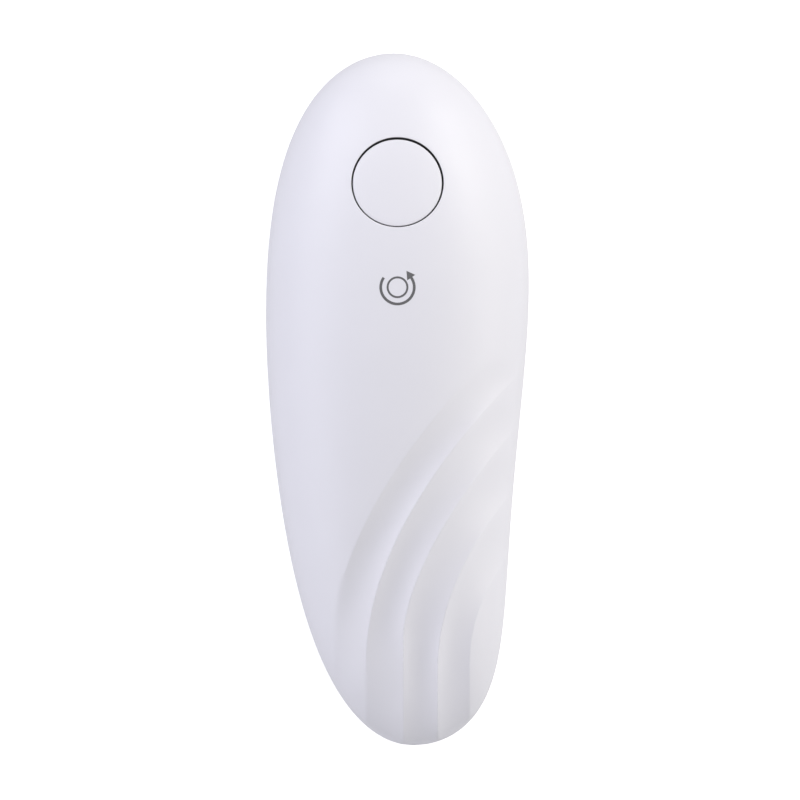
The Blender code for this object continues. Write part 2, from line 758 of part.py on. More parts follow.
def make_drive():
    """The output shaft with the toothed wheel that turns the can."""
    steps = ((0, 32.2), (2.4, 32.2), (SHAFT_RADIUS, 31.4), (SHAFT_RADIUS, 2.6), (0, 2.6))
    place(turned("drive_shaft", steps, "steel"), (*DRIVE_XY, 0))
    teeth = 30
    outline = []
    for index in range(2 * teeth):
        radius = DRIVE_WHEEL_RADIUS - (0.7 if index % 2 else 0.0)
        angle = math.pi * index / teeth
        outline.append((radius * math.cos(angle), radius * math.sin(angle)))
    wheel = prism("drive_wheel", outline, DRIVE_WHEEL_Z, "steel")
    hub = cylinder("drive_wheel_hub", 5.0, (7.6, 9.9))
    join(wheel, hub)
    cut(wheel, cylinder("drive_wheel_bore", SHAFT_BORE, (0, 12)))
    place(wheel, (*DRIVE_XY, 0))
    nut = cylinder("drive_wheel_nut", 5.2, (2.4, 3.7), finish="steel", segments=6)
    cut(nut, cylinder("nut_bore", SHAFT_BORE, (0, 6)))
    place(nut, (*DRIVE_XY, 0))
    bush = (
        (SHAFT_BORE, 14.5),
        (5.0, 14.5),
        (5.0, 11.7),
        (6.6, 11.7),
        (6.6, 10.3),
        (SHAFT_BORE, 10.3),
    )
    place(turned("drive_bush", bush, "brass", closed=True), (*DRIVE_XY, 0))
    direction = math.atan2(CARRIER_XY[1] - DRIVE_XY[1], 0)
    pinion = gear_outline(CLUTCH_TEETH, phase=direction + math.pi / CLUTCH_TEETH)
    clutch = prism("clutch_pinion", pinion, CARRIER_GEAR_Z, "gear_plastic")
    cut(clutch, cylinder("clutch_bore", SHAFT_BORE + 0.1, (12, 20)))
    place(clutch, (*DRIVE_XY, 0))


def make_carrier():
    """The eccentric carrier: the cutter's post stands off its axis by CUTTER_OFFSET."""
    profile = (
        (0, 17.6),
        (5.0, 17.6),
        (5.0, 14.6),
        (8.2, 14.6),
        (8.2, 11.6),
        (CARRIER_FLANGE_RADIUS, 11.6),
        (CARRIER_FLANGE_RADIUS, 9.9),
        (CARRIER_FLANGE_RADIUS - 0.6, 9.3),
        (0, 9.3),
    )
    carrier = turned("cutter_carrier", profile, "grey_plastic")
    post_at = (0, -CUTTER_OFFSET)
    join(carrier, cylinder("cutter_post", 4.6, (7.2, 9.6), post_at))
    join(carrier, cylinder("cutter_journal", 3.0, (4.4, 9.6), post_at))
    cut(carrier, cylinder("carrier_thread", 1.5, (3, 12), post_at, segments=12))
    place(carrier, (*CARRIER_XY, 0))
    outline = gear_outline(CARRIER_TEETH, phase=math.pi / 2)
    gear = prism("carrier_gear", outline, CARRIER_GEAR_Z, "gear_plastic", [(0, 0, 5.2)])
    place(gear, (*CARRIER_XY, 0))

    edge = (
        (3.2, CUTTER_Z + 1.2),
        (4.6, CUTTER_Z + 1.2),
        (5.2, CUTTER_Z + 0.5),
        (7.0, CUTTER_Z + 0.5),
        (CUTTER_RADIUS, CUTTER_Z + 0.04),
        (CUTTER_RADIUS, CUTTER_Z - 0.04),
        (7.0, CUTTER_Z - 0.5),
        (5.2, CUTTER_Z - 0.5),
        (4.6, CUTTER_Z - 0.9),
        (3.2, CUTTER_Z - 0.9),
    )
    cutter_at = (CARRIER_XY[0], CARRIER_XY[1] - CUTTER_OFFSET)
    place(turned("cutter_wheel", edge, "steel", steps=28, closed=True), (*cutter_at, 0))
    make_screw("cutter_screw", cutter_at, 2.2, 4.1, 11.4, 1.3, 4.4)


def make_head_plate():
    holes = [(*CARRIER_XY, CARRIER_FLANGE_RADIUS + 0.6), (*DRIVE_XY, 7.0)]
    holes += [(x, y, 1.7) for x, y in HEAD_SCREWS] + [(x, y, 4.2) for x, y in HOUSING_SCREWS[:2]]
    outline = plate_outline(8.5, 21.5, 85.0, 10)
    plate = prism("head_plate", outline, HEAD_PLATE_Z, "steel", holes)
    cut(plate, box("magnet_window", (-10.4, 62.2, 9), (10.4, 87.4, 13)))
    for index, at in enumerate(HEAD_SCREWS, 1):
        make_screw(f"head_screw_{index}", at, 8.9, 10.3, 16.0, 1.15, 2.6)


def make_magnet_arm():
    """An arm that lifts with the lid, hinged on a pin across the nose's pocket."""
    outline = (
        (2.0, -2.2),
        (2.4, 0.6),
        (1.0, 2.3),
        (-1.6, 2.3),
        (-2.6, 0.0),
        (-1.5, -3.0),
        (2.0, -5.6),
        (19.0, -5.6),
        (19.0, -3.6),
        (5.2, -3.6),
    )
    arm = prism("magnet_arm", outline, (-8.0, 8.0), "grey_plastic", [(0, 0, PIN_BORE)])
    cut(arm, box("arm_relief", (-4.0, -9, -4.4), (20, 9, 4.4)))
    bridge = box("arm_pad", (4.5, -5.5, -7.0), (18.8, -3.7, 7.0))
    join(arm, bridge)
    place(arm, (0, MAGNET_PIN_Y, MAGNET_PIN_Z), UPRIGHT)
    magnet_at = (0, MAGNET_PIN_Y + 12.0)
    profile = ((0, 8.0), (6.0, 8.0), (6.5, 7.4), (6.5, 4.9), (6.0, 4.5), (0, 4.5))
    place(turned("magnet", profile, "magnet", steps=28), (*magnet_at, 0))
    pin = cylinder("magnet_pin", PIN_RADIUS, (-10.8, 10.8), finish="steel", segments=16)
    place(pin, (0, MAGNET_PIN_Y, MAGNET_PIN_Z), Matrix.Rotation(math.pi / 2, 4, "Y"))


# ---------------------------------------------------------------- motor, cells and wiring


def make_motor():
    along_y = Matrix.Rotation(-math.pi / 2, 4, "X")
    axis_z = CROWN_PITCH_Z + MODULE * SMALL_TEETH / 2
    rear, front = MOTOR_Y
    can = (
        (1.4, front),
        (3.2, front),
        (3.2, front - 1.4),
        (10.8, front - 1.4),
        (MOTOR_RADIUS, front - 2.6),
        (MOTOR_RADIUS, rear + 3.6),
        (1.4, rear + 3.6),
    )
    place(turned("motor_can", can, "steel", steps=28, closed=True), (0, 0, axis_z), along_y)
    cap = (
        (1.4, rear + 3.3),
        (11.4, rear + 3.3),
        (11.4, rear + 1.0),
        (4.0, rear + 1.0),
        (4.0, rear),
        (1.4, rear),
    )
    place(turned("motor_end_cap", cap, "grey_plastic", closed=True), (0, 0, axis_z), along_y)
    shaft = cylinder("motor_shaft", 1.0, (rear + 0.6, 14.0), finish="steel", segments=12)
    place(shaft, (0, 0, axis_z), along_y)
    phase = math.pi / 2 + math.pi / SMALL_TEETH
    outline = gear_outline(SMALL_TEETH, phase=phase)
    pinion = prism("motor_pinion", outline, MOTOR_PINION_Y, "brass", [(0, 0, 1.15)])
    place(pinion, (0, 0, axis_z), along_y)
    plate = [(-12.5, 20.2), (12.5, 20.2), (12.5, 36.0), (8.0, 40.0), (-8.0, 40.0), (-12.5, 36.0)]
    bracket = prism("motor_bracket", [(x, axis_z - z) for x, z in plate], (6.0, 7.6), "steel")
    cut(bracket, cylinder("bracket_way", 3.5, (4, 9)))
    place(bracket, (0, 0, axis_z), along_y)


def make_cells():
    along_y = Matrix.Rotation(-math.pi / 2, 4, "X")
    length = CELL_LENGTH
    profile = (
        (0, length),
        (2.7, length),
        (2.7, length - 1.1),
        (6.4, length - 1.1),
        (CELL_RADIUS, length - 1.9),
        (CELL_RADIUS, 0.8),
        (6.4, 0),
        (0, 0),
    )
    front_y = CELL_REAR_Y + CELL_LENGTH
    first = turned("cell_1", profile, "cell_wrap")
    place(first, (CELL_X[0], CELL_REAR_Y, CELL_Z), along_y)
    second = turned("cell_2", profile, "cell_wrap")
    turned_round = Matrix.Rotation(math.pi / 2, 4, "X")
    place(second, (CELL_X[1], front_y, CELL_Z), turned_round)

    z_low, z_high = 10.0, 19.5
    rear = (CELL_X[0] - 5, -81.4, z_low), (CELL_X[1] + 5, -80.9, z_high)
    box("rear_link_plate", *rear, finish="steel")
    for name, x in (("front_plate_positive", CELL_X[0]), ("front_plate_negative", CELL_X[1])):
        box(name, (x - 5, -27.0, z_low), (x + 5, -26.5, z_high), finish="steel")
    coil(
        "rear_spring", (5.0, 2.6), (0.5, 2.1), 2.5, 0.4, "steel",
        along_y, (CELL_X[0], -80.6, CELL_Z),
    )
    coil(
        "front_spring", (5.0, 2.6), (-0.5, -0.6), 2.5, 0.2, "steel",
        along_y, (CELL_X[1], -27.0, CELL_Z),
    )


def button_turn():
    return Matrix.Rotation(-BUTTON_LEAN, 4, "X")


def button_centre():
    return Vector((0, BUTTON_Y, surface_z(0, BUTTON_Y)))


def make_button():
    """The button, its spring, the switch below it and the board that carries the switch."""
    centre, turn = button_centre(), button_turn()
    drop = BUTTON_DOME_RADIUS - math.sqrt(BUTTON_DOME_RADIUS**2 - BUTTON_RADIUS**2)
    top = -BUTTON_SUNK
    dome = []
    for step in range(4):
        radius = (BUTTON_RADIUS - 0.4) * step / 3
        sag = BUTTON_DOME_RADIUS - math.sqrt(BUTTON_DOME_RADIUS**2 - radius**2)
        dome.append((radius, top - sag))
    profile = dome + [
        (BUTTON_RADIUS, top - drop - 0.4),
        (BUTTON_RADIUS, -5.5),
        (13.4, -5.5),
        (13.4, -6.5),
        (10.6, -6.5),
        (10.6, -2.9),
        (2.0, -2.9),
        (2.0, -7.0),
        (0, -7.0),
    ]
    place(turned("start_button", profile, "white_plastic", steps=32), centre, turn)
    coil("button_spring", (4.6, 4.6), (-8.55, -3.4), 4, 0.3, "steel", turn, centre)
    plunger = cylinder("switch_plunger", 1.2, (-10.6, -7.3), finish="grey_plastic", segments=16)
    place(plunger, centre, turn)
    switch = box("switch_body", (-6.5, -5.2, -13.4), (6.5, 5.2, -9.0), "grey_plastic")
    cut(switch, cylinder("plunger_way", 1.6, (-12.6, -8.0), segments=16))
    place(switch, centre, turn)
    board = box("circuit_board", (-20, -9.5, -15.3), (20, 9.5, -13.8), "board_green")
    for index, side in enumerate((-1, 1)):
        post = cylinder(f"board_hole_{index}", 2.9, (-17, -12), (side * 17.5, 0), segments=16)
        cut(board, post)
    place(board, centre, turn)


def make_leads():
    """Leads from the cells' front plates up into the board."""
    for name, finish, x, side in (
        ("lead_positive", "lead_red", CELL_X[0], -1),
        ("lead_negative", "lead_black", CELL_X[1], 1),
    ):
        at_board = [
            button_centre() + button_turn() @ Vector((side * 12.0, -3.0, z)) for z in (-17.8, -15.7)
        ]
        points = [(x, -25.4, 16), (x, -25.4, 25), (x + side * 5, -23.8, 31)]
        points += [(side * 15, -17, 33), (side * 17, 0, 34), (side * 17, 25, 34.5)]
        points += [(side * 14, 44, 35.0)] + at_board
        tube(name, smooth_route(points, 3), 0.75, finish)


def main():
    clear_scene()
    make_upper_housing()
    make_lower_housing()
    make_battery_door()
    make_housing_screws()
    make_gear_train()
    make_drive()
    make_carrier()
    make_head_plate()
    make_magnet_arm()
    make_motor()
    make_cells()
    make_button()
    make_leads()


PARTS = new_collection("can_opener")
HELPERS = new_collection("can_opener_helpers", hidden=True)
main()
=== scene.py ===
"""The can opener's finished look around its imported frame, lit on a plain white table."""

import json
from math import cos, hypot, pi, radians, sin

import bmesh
import bpy
import numpy as np
from mathutils import Matrix, Vector


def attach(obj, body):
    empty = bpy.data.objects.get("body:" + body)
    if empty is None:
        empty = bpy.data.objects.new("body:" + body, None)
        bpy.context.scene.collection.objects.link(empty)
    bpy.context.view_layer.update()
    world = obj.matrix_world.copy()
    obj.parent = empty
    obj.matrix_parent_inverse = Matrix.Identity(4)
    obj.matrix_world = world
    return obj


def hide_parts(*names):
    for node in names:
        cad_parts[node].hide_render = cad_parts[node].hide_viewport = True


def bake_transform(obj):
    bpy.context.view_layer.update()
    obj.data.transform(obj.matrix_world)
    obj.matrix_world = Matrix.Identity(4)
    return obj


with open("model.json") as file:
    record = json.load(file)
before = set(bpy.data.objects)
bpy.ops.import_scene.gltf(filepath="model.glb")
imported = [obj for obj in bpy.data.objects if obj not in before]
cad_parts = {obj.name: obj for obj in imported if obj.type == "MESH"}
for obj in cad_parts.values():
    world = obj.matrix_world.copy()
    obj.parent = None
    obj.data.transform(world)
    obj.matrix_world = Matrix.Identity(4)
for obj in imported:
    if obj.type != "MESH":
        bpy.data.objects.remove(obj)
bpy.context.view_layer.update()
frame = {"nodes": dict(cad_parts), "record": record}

MM = 0.001  # sizes below are in millimetres, as in the CAD

# The housing's form, as the CAD has it
HALF_LENGTH = 96.0
PARTING_Z = 24.0
SPINE_NOSE_X = -1.05
SPINE_TAIL_X = 4.35
LEFT_FULLNESS = (37.2, 4.3, 6.5, 0.0)
RIGHT_FULLNESS = (32.8, 12.0, 13.5, -12.3)
CROWN_HEIGHT = (29.0, 8.4)
UPPER_SQUARENESS = 2.3
LOWER_SQUARENESS = 3.2
BELLY_DEPTH = 25.5
HEAD_DEPTH = 13.0
HEAD_FLOOR_Z = 12.0
STEP_Y = (7.0, 17.0)
END_ROUNDNESS = 0.25
UPPER_WALL = 2.6
LOWER_WALL = 2.2
SEAM_HALF_GAP = 0.15
SEAM_ROUND = 0.35
RIM = SEAM_HALF_GAP + SEAM_ROUND

BUTTON_Y = 60.1
BUTTON_LEAN = radians(12.3)
HOLE_RADIUS = 12.70
BUTTON_RADIUS = 12.3
BUTTON_SHIFT = (0.04, 0.15)
BUTTON_SUNK = 0.22
EDGE_ROUND = 0.25

# Grip flutes lie between crests: x = x0 + rise * (y - y0) ** power above y0
CRESTS = (
    (-17.32, -62.6, 0.03138, 1.672),
    (-8.73, -72.5, 0.01119, 1.883),
    (1.61, -65.6, 0.04325, 1.623),
    (11.10, -75.2, 0.00787, 2.018),
    (20.00, -72.2, 0.01422, 1.972),
)
# How deep each flute is at each y, from the tail to the nose
FLUTES = (
    (
        (-82, 0.0), (-72, 0.55), (-60, 1.05), (-50, 1.4), (-40, 1.8),
        (-18, 1.8), (-8, 1.4), (2, 0.8), (11, 0.0),
    ),
    (
        (-96, 0.8), (-75, 0.8), (-64, 1.5), (-53, 1.7), (-42, 1.8),
        (-30, 1.6), (-20, 1.2), (-12, 0.8), (0, 0.0),
    ),
    (
        (-96, 1.0), (-85, 1.2), (-75, 1.7), (-64, 1.8), (-53, 1.5),
        (-42, 1.3), (-35, 1.1), (-27, 0.8), (-14, 0.0),
    ),
    ((-96, 0.9), (-75, 1.2), (-64, 1.3), (-56, 1.0), (-48, 0.6), (-34, 0.0)),
)
CREST_SOFTNESS = 0.012
CREST_STEEPNESS = 0.22


# ---------------- housing form


def plan_section(y, half_length=HALF_LENGTH):
    along = np.clip(y / half_length, -1, 1)
    rounding = np.sqrt(1 - along**2)
    spine = SPINE_NOSE_X + (SPINE_TAIL_X - SPINE_NOSE_X) * (1 - along) / 2
    left = rounding * sum(k * along**p for p, k in enumerate(LEFT_FULLNESS))
    right = rounding * sum(k * along**p for p, k in enumerate(RIGHT_FULLNESS))
    return spine + (right - left) / 2, (left + right) / 2, rounding


def crown_height(y, half_length=HALF_LENGTH):
    along = np.clip(y / half_length, -1, 1)
    return np.sqrt(1 - along**2) * (CROWN_HEIGHT[0] + CROWN_HEIGHT[1] * along)


def smooth_step(value):
    value = np.clip(value, 0, 1)
    return value * value * (3 - 2 * value)


def polar(radius, angle):
    return radius * cos(angle), radius * sin(angle)


def squared(cosine, squareness):
    """How far across a squared-off oval lies the point at this cosine."""
    return np.sign(cosine) * np.abs(cosine) ** (2 / squareness)


def surface_z(x, y):
    centre, half_width, _ = plan_section(y)
    across = np.clip(np.abs(x - centre) / half_width, 0, 1)
    return PARTING_Z + crown_height(y) * np.sqrt(1 - across**UPPER_SQUARENESS)


def crest_x(crest, y):
    x0, y0, rise, power = crest
    return x0 + rise * np.maximum(0.0, y - y0) ** power


def smooth_curve(knots, y):
    """A value read along straight runs between knots, with the corners smoothed out."""
    where, values = zip(*knots)
    fine = np.linspace(where[0], where[-1], 400)
    window = np.hanning(51)
    padded = np.pad(np.interp(fine, where, values), 25, mode="edge")
    return np.interp(y, fine, np.convolve(padded, window / window.sum(), "valid"))


def flute_depth(x, y):
    """How deep the grip is cut below the plain form at (x, y)."""
    depth = np.zeros_like(x)
    for left, right, flute in zip(CRESTS, CRESTS[1:], FLUTES):
        x_left, x_right = crest_x(left, y), crest_x(right, y)
        share = np.clip((x - x_left) / (x_right - x_left), 0, 1)
        bowl = 4 * share * (1 - share)
        soft = bowl - CREST_SOFTNESS * (1 - np.exp(-bowl / CREST_SOFTNESS))
        depth += smooth_curve(flute, y) * soft * (1 + CREST_STEEPNESS * share**8)
    return depth


# ---------------- mesh helpers


def linked(name, data):
    """A new object in the scene."""
    obj = bpy.data.objects.new(name, data)
    bpy.context.scene.collection.objects.link(obj)
    return obj


def smoothed(mesh, sharp_angle=35):
    mesh.shade_smooth()
    mesh.set_sharp_from_angle(angle=radians(sharp_angle))


def tidied(mesh, weld=0.0):
    """Turns every face outwards, after joining points closer than weld metres."""
    bm = bmesh.new()
    bm.from_mesh(mesh)
    if weld:
        bmesh.ops.remove_doubles(bm, verts=bm.verts, dist=weld)
    bmesh.ops.recalc_face_normals(bm, faces=bm.faces)
    bm.to_mesh(mesh)
    bm.free()


def new_object(name, verts, faces, sharp_angle=35):
    """A mesh object from points in millimetres."""
    mesh = bpy.data.meshes.new(name)
    mesh.from_pydata([tuple(float(c) * MM for c in v) for v in verts], [], faces)
    tidied(mesh)
    smoothed(mesh, sharp_angle)
    return linked(name, mesh)


def modified_mesh(obj):
    """The mesh that the object's modifiers or its curve give."""
    bpy.context.view_layer.update()
    graph = bpy.context.evaluated_depsgraph_get()
    return bpy.data.meshes.new_from_object(obj.evaluated_get(graph))


def bake_modifiers(obj):
    """Applies the modifiers, and throws their helpers away."""
    helpers = {m.object for m in obj.modifiers if m.type == "BOOLEAN"}
    mesh = modified_mesh(obj)
    obj.modifiers.clear()
    obj.data = mesh
    mesh.name = obj.name
    smoothed(mesh)
    for helper in helpers:
        bpy.data.objects.remove(helper)
    return obj


def boolean(obj, other, operation):
    modifier = obj.modifiers.new(operation, "BOOLEAN")
    modifier.operation = operation
    modifier.solver = "MANIFOLD"
    modifier.object = other
    other.hide_render = True
    other.hide_viewport = True
    return obj


def cut(obj, *others):
    for other in others:
        boolean(obj, other, "DIFFERENCE")
    return obj


def join(obj, *others):
    for other in others:
        boolean(obj, other, "UNION")
    return obj


def band(faces, first, second):
    """Four-sided faces between two rings of equal count."""
    for i in range(len(first)):
        j = (i + 1) % len(first)
        faces.append((first[i], first[j], second[j], second[i]))


def turned(name, profile, steps=64, at=(0, 0, 0), turn=None, sharp_angle=35):
    """A closed (radius, z) profile turned about Z. A profile from axis to axis makes a solid."""
    verts, faces, rings = [], [], []
    for radius, z in profile:
        if radius < 1e-6:
            rings.append([len(verts)] * steps)
            verts.append((0, 0, z))
            continue
        rings.append([len(verts) + i for i in range(steps)])
        for i in range(steps):
            verts.append((*polar(radius, 2 * pi * i / steps), z))
    pairs = list(zip(rings, rings[1:]))
    if profile[0][0] > 1e-6:
        pairs.append((rings[-1], rings[0]))
    for upper, lower in pairs:
        band(faces, upper, lower)
    corners = [list(dict.fromkeys(face)) for face in faces]
    faces = [face for face in corners if len(face) > 2]
    return place(new_object(name, verts, faces, sharp_angle), at, turn)


def loft(name, layers):
    """A closed solid through outlines of equal count, each with its own height."""
    count = len(layers[0][0])
    verts = [(x, y, z) for outline, z in layers for x, y in outline]
    rings = [range(k * count, (k + 1) * count) for k in range(len(layers))]
    faces = [list(rings[0])[::-1], list(rings[-1])]
    for low, high in zip(rings, rings[1:]):
        band(faces, low, high)
    return new_object(name, verts, faces)


def prism(name, outline, z_range, turn=None):
    """A flat outline raised between two heights."""
    return place(loft(name, [(outline, z) for z in z_range]), turn=turn)


def box(name, low, high):
    outline = [(low[0], low[1]), (high[0], low[1]), (high[0], high[1]), (low[0], high[1])]
    return prism(name, outline, (low[2], high[2]))


def place(obj, at=(0, 0, 0), turn=None):
    """Moves the mesh itself, so that every piece's origin stays at the frame's."""
    to = Matrix.Translation(Vector(at).to_3d() * MM)
    obj.data.transform(to @ (turn or Matrix.Identity(4)))
    return obj


def bevelled(obj, width):
    bevel = obj.modifiers.new("edge", "BEVEL")
    bevel.width = width * MM
    bevel.segments = 2
    bevel.limit_method = "ANGLE"
    bevel.angle_limit = radians(40)
    return bake_modifiers(obj)


def rounded_outline(corners, radius, steps=5):
    """A polygon with its corners rounded by quadratic curves. Radius may be one per corner."""
    points = []
    count = len(corners)
    for i, corner in enumerate(corners):
        r = radius[i] if isinstance(radius, (list, tuple)) else radius
        here = Vector(corner)
        before = Vector(corners[i - 1]) - here
        after = Vector(corners[(i + 1) % count]) - here
        if r <= 0:
            points.append(tuple(here))
            continue
        start = here + before.normalized() * min(r, before.length * 0.45)
        end = here + after.normalized() * min(r, after.length * 0.45)
        for step in range(steps + 1):
            t = step / steps
            points.append(tuple((1 - t) ** 2 * start + 2 * t * (1 - t) * here + t * t * end))
    return points


# ---------------- upper housing


BUTTON_TURN = Matrix.Rotation(-BUTTON_LEAN, 4, "X")
BUTTON_CENTRE = Vector((0, BUTTON_Y, float(surface_z(0.0, BUTTON_Y))))


def on_button(lx, ly, lz):
    """A point given in the button's own frame."""
    return BUTTON_CENTRE + BUTTON_TURN.to_3x3() @ Vector((lx, ly, lz))


def on_surface(lx, ly, lift=0.0):
    """The point of the plain form above (lx, ly) of the button's own plane, and lifted."""
    base = on_button(lx, ly, 0)
    n = BUTTON_TURN.to_3x3() @ Vector((0, 0, 1))
    t = 0.0
    for _ in range(12):
        p = base + n * t
        t += (float(surface_z(p.x, p.y)) - p.z) / n.z * 0.9
    return base + n * (t + lift)


def round_point(p, radius, lift=0.0):
    """The point at a radius round the button, in the direction of p."""
    flat = Vector((p.x, p.y)).normalized() * radius
    return tuple(on_surface(flat.x, flat.y, lift))


def end_point(y, z, half_length=HALF_LENGTH):
    """Where a half of the housing closes at the nose or the tail."""
    return float(plan_section(np.array(y), half_length)[0]), float(y), z


def row_positions(*spans):
    """Values from the first span's start to the last one's end, each span with its own count."""
    values = [np.linspace(a, b, n, endpoint=False) for a, b, n in spans]
    return np.concatenate(values + [np.array([spans[-1][1]])])


def upper_grid(ys, shares):
    """The outer form on rows of y and shares of each row's way round, flutes included."""
    y = ys[:, None] + 0 * shares[None, :]
    height = crown_height(y)
    start = np.arcsin(np.clip(RIM / height, 0, 1))
    angle = start + (pi - 2 * start) * shares[None, :]
    centre, half_width, _ = plan_section(y)
    x = centre + half_width * squared(np.cos(angle), UPPER_SQUARENESS)
    step = 1e-3
    rise_x = (surface_z(x + step, y) - surface_z(x - step, y)) / (2 * step)
    rise_y = (surface_z(x, y + step) - surface_z(x, y - step)) / (2 * step)
    normal = np.stack([-rise_x, -rise_y, np.ones_like(x)], -1)
    normal /= np.linalg.norm(normal, axis=-1, keepdims=True)
    edge_fade = smooth_step((normal[..., 2] - 0.15) / 0.35)
    outer = np.stack([x, y, PARTING_Z + height * np.sin(angle)], -1)
    return outer - normal * (flute_depth(x, y) * edge_fade)[..., None]


def ring_normals(points):
    """Outward normals, seen from above, of a loop of points."""
    p = np.array([[q[0], q[1]] for q in points])
    tangent = np.roll(p, -1, 0) - np.roll(p, 1, 0)
    normal = np.stack([tangent[:, 1], -tangent[:, 0]], -1)
    normal /= np.linalg.norm(normal, axis=1, keepdims=True)
    area = np.sum(p[:, 0] * np.roll(p[:, 1], -1) - np.roll(p[:, 0], -1) * p[:, 1])
    return normal if area > 0 else -normal


# Sine and cosine at four steps of a quarter turn, which round an edge
QUARTER = [(sin(pi * k / 8), cos(pi * k / 8)) for k in range(1, 5)]


def rim_loops(verts, faces, loop, z_flat, downwards):
    """Rounds a shell's rim over to the seam's flat, and closes it there."""
    points = [verts[i] for i in loop]
    normals = ring_normals(points)
    previous = loop
    for sine, cosine in QUARTER:
        inset = SEAM_ROUND * (1 - cosine)
        rise = SEAM_ROUND * (1 - sine)
        z = z_flat + (rise if downwards else -rise)
        ring = []
        for (x, y, _), (nx, ny) in zip(points, normals):
            ring.append(len(verts))
            verts.append((x - nx * inset, y - ny * inset, z))
        band(faces, previous, ring)
        previous = ring
    faces.append(tuple(previous))


def grid_solid(points, nose, tail, hole=None):
    """Verts and faces of a grid with a point at either end. hole is a block of cells left out."""
    rows, columns, _ = points.shape
    verts = [tuple(p) for p in points.reshape(-1, 3)]

    def index(r, c):
        return r * columns + c

    faces = []
    for r in range(rows - 1):
        for c in range(columns - 1):
            if hole and hole[0] <= r < hole[1] and hole[2] <= c < hole[3]:
                continue
            faces.append((index(r, c), index(r, c + 1), index(r + 1, c + 1), index(r + 1, c)))
    nose_index, tail_index = len(verts), len(verts) + 1
    verts += [nose, tail]
    for c in range(columns - 1):
        faces.append((nose_index, index(0, c + 1), index(0, c)))
        faces.append((tail_index, index(rows - 1, c), index(rows - 1, c + 1)))
    loop = [nose_index] + [index(r, 0) for r in range(rows)]
    loop += [tail_index] + [index(r, columns - 1) for r in reversed(range(rows))]
    return verts, faces, loop, index


def plain_form(name, half, wall):
    """A closed plain half, moved inwards by a wall and carried past the seam: a cavity."""
    half_length = HALF_LENGTH - wall
    along = np.linspace(0, pi, 72)[1:-1]
    ys = half_length * np.cos(along)
    angles = np.linspace(0, pi, 40)
    y = ys[:, None] + 0 * angles[None, :]
    angle = angles[None, :] + 0 * ys[:, None]
    centre, half_width, rounding = plan_section(y, half_length)
    cosine, sine = np.cos(angle), np.clip(np.sin(angle), 0, 1)
    shrink = 1 - wall / 36.0
    if half == "upper":
        across = squared(cosine, UPPER_SQUARENESS)
        z = PARTING_Z + crown_height(y, half_length) * (1 - wall / CROWN_HEIGHT[0]) * sine
    else:
        across, z = lower_section(y, cosine, sine, rounding, wall)
    points = np.stack([centre + half_width * shrink * across, y, z], -1)
    ends = [end_point(e, PARTING_Z, half_length) for e in (half_length, -half_length)]
    verts, faces, loop, _ = grid_solid(points, *ends)
    beyond = -2.0 if half == "upper" else 2.0
    ring = []
    for i in loop:
        ring.append(len(verts))
        verts.append((verts[i][0], verts[i][1], PARTING_Z + beyond))
    band(faces, loop, ring)
    faces.append(tuple(ring))
    return new_object(name, verts, faces)


# Spans of the housing's grids, each with its count: the fluted grip has the closest rows
UPPER_ROWS = (
    (95.75, 92, 6), (92, 76, 14), (76, 44, 30), (44, 10, 24), (10, -88, 230), (-88, -95.7, 22),
)
UPPER_COLUMNS = ((0, 0.06, 8), (0.06, 0.66, 240), (0.66, 0.94, 22), (0.94, 1.0, 6))
LOWER_ROWS = ((95.6, 90, 8), (90, 24, 44), (24, 2, 34), (2, -80, 60), (-80, -95.6, 18))
HOLE_BLOCK = 16.2  # half the side of the block of cells left out round the button


def make_upper_housing():
    ys = row_positions(*UPPER_ROWS)
    shares = row_positions(*UPPER_COLUMNS)
    points = upper_grid(ys, shares)
    x_at_button = points[np.abs(ys - BUTTON_Y).argmin(), :, 0]
    hole_rows = np.where(np.abs(ys - BUTTON_Y) < HOLE_BLOCK)[0]
    hole_columns = np.where(np.abs(x_at_button) < HOLE_BLOCK)[0]
    hole = (hole_rows[0], hole_rows[-1], hole_columns[0], hole_columns[-1])
    ends = []
    for sign in (1, -1):
        y = sign * HALF_LENGTH
        for _ in range(60):
            y -= sign * (0.0005 if crown_height(np.array(y)) < RIM else 0)
        ends.append(end_point(y, PARTING_Z + RIM))
    verts, faces, loop, index = grid_solid(points, *ends, hole=hole)
    rim_loops(verts, faces, loop, PARTING_Z + SEAM_HALF_GAP, True)

    r0, r1, c0, c1 = hole
    border = [index(r0, c) for c in range(c0, c1)] + [index(r, c1) for r in range(r0, r1)]
    border += [index(r1, c) for c in range(c1, c0, -1)] + [index(r, c0) for r in range(r1, r0, -1)]
    back = BUTTON_TURN.inverted()
    local = [back @ (Vector(verts[i]) - BUTTON_CENTRE) for i in border]
    rings = []
    for share in (0.3, 0.6, 0.85, 1.0):
        ring = []
        for p in local:
            flat = Vector((p.x, p.y))
            target = flat.normalized() * (HOLE_RADIUS + EDGE_ROUND)
            q = flat.lerp(target, share)
            ring.append(tuple(on_surface(q.x, q.y)))
        rings.append(ring)
    for sine, cosine in QUARTER:
        radius, drop = HOLE_RADIUS + EDGE_ROUND * (1 - sine), EDGE_ROUND * (1 - cosine)
        rings.append([round_point(p, radius, -drop) for p in local])
    for drop in (1.0, 2.0, 4.0, 8.5):
        rings.append([round_point(p, HOLE_RADIUS, -drop) for p in local])
    previous = border
    for ring in rings:
        here = [len(verts) + i for i in range(len(ring))]
        verts += ring
        band(faces, previous, here)
        previous = here
    faces.append(tuple(previous))
    housing = new_object("housing_top", verts, faces)
    return bake_modifiers(cut(housing, plain_form("top_cavity", "upper", UPPER_WALL)))


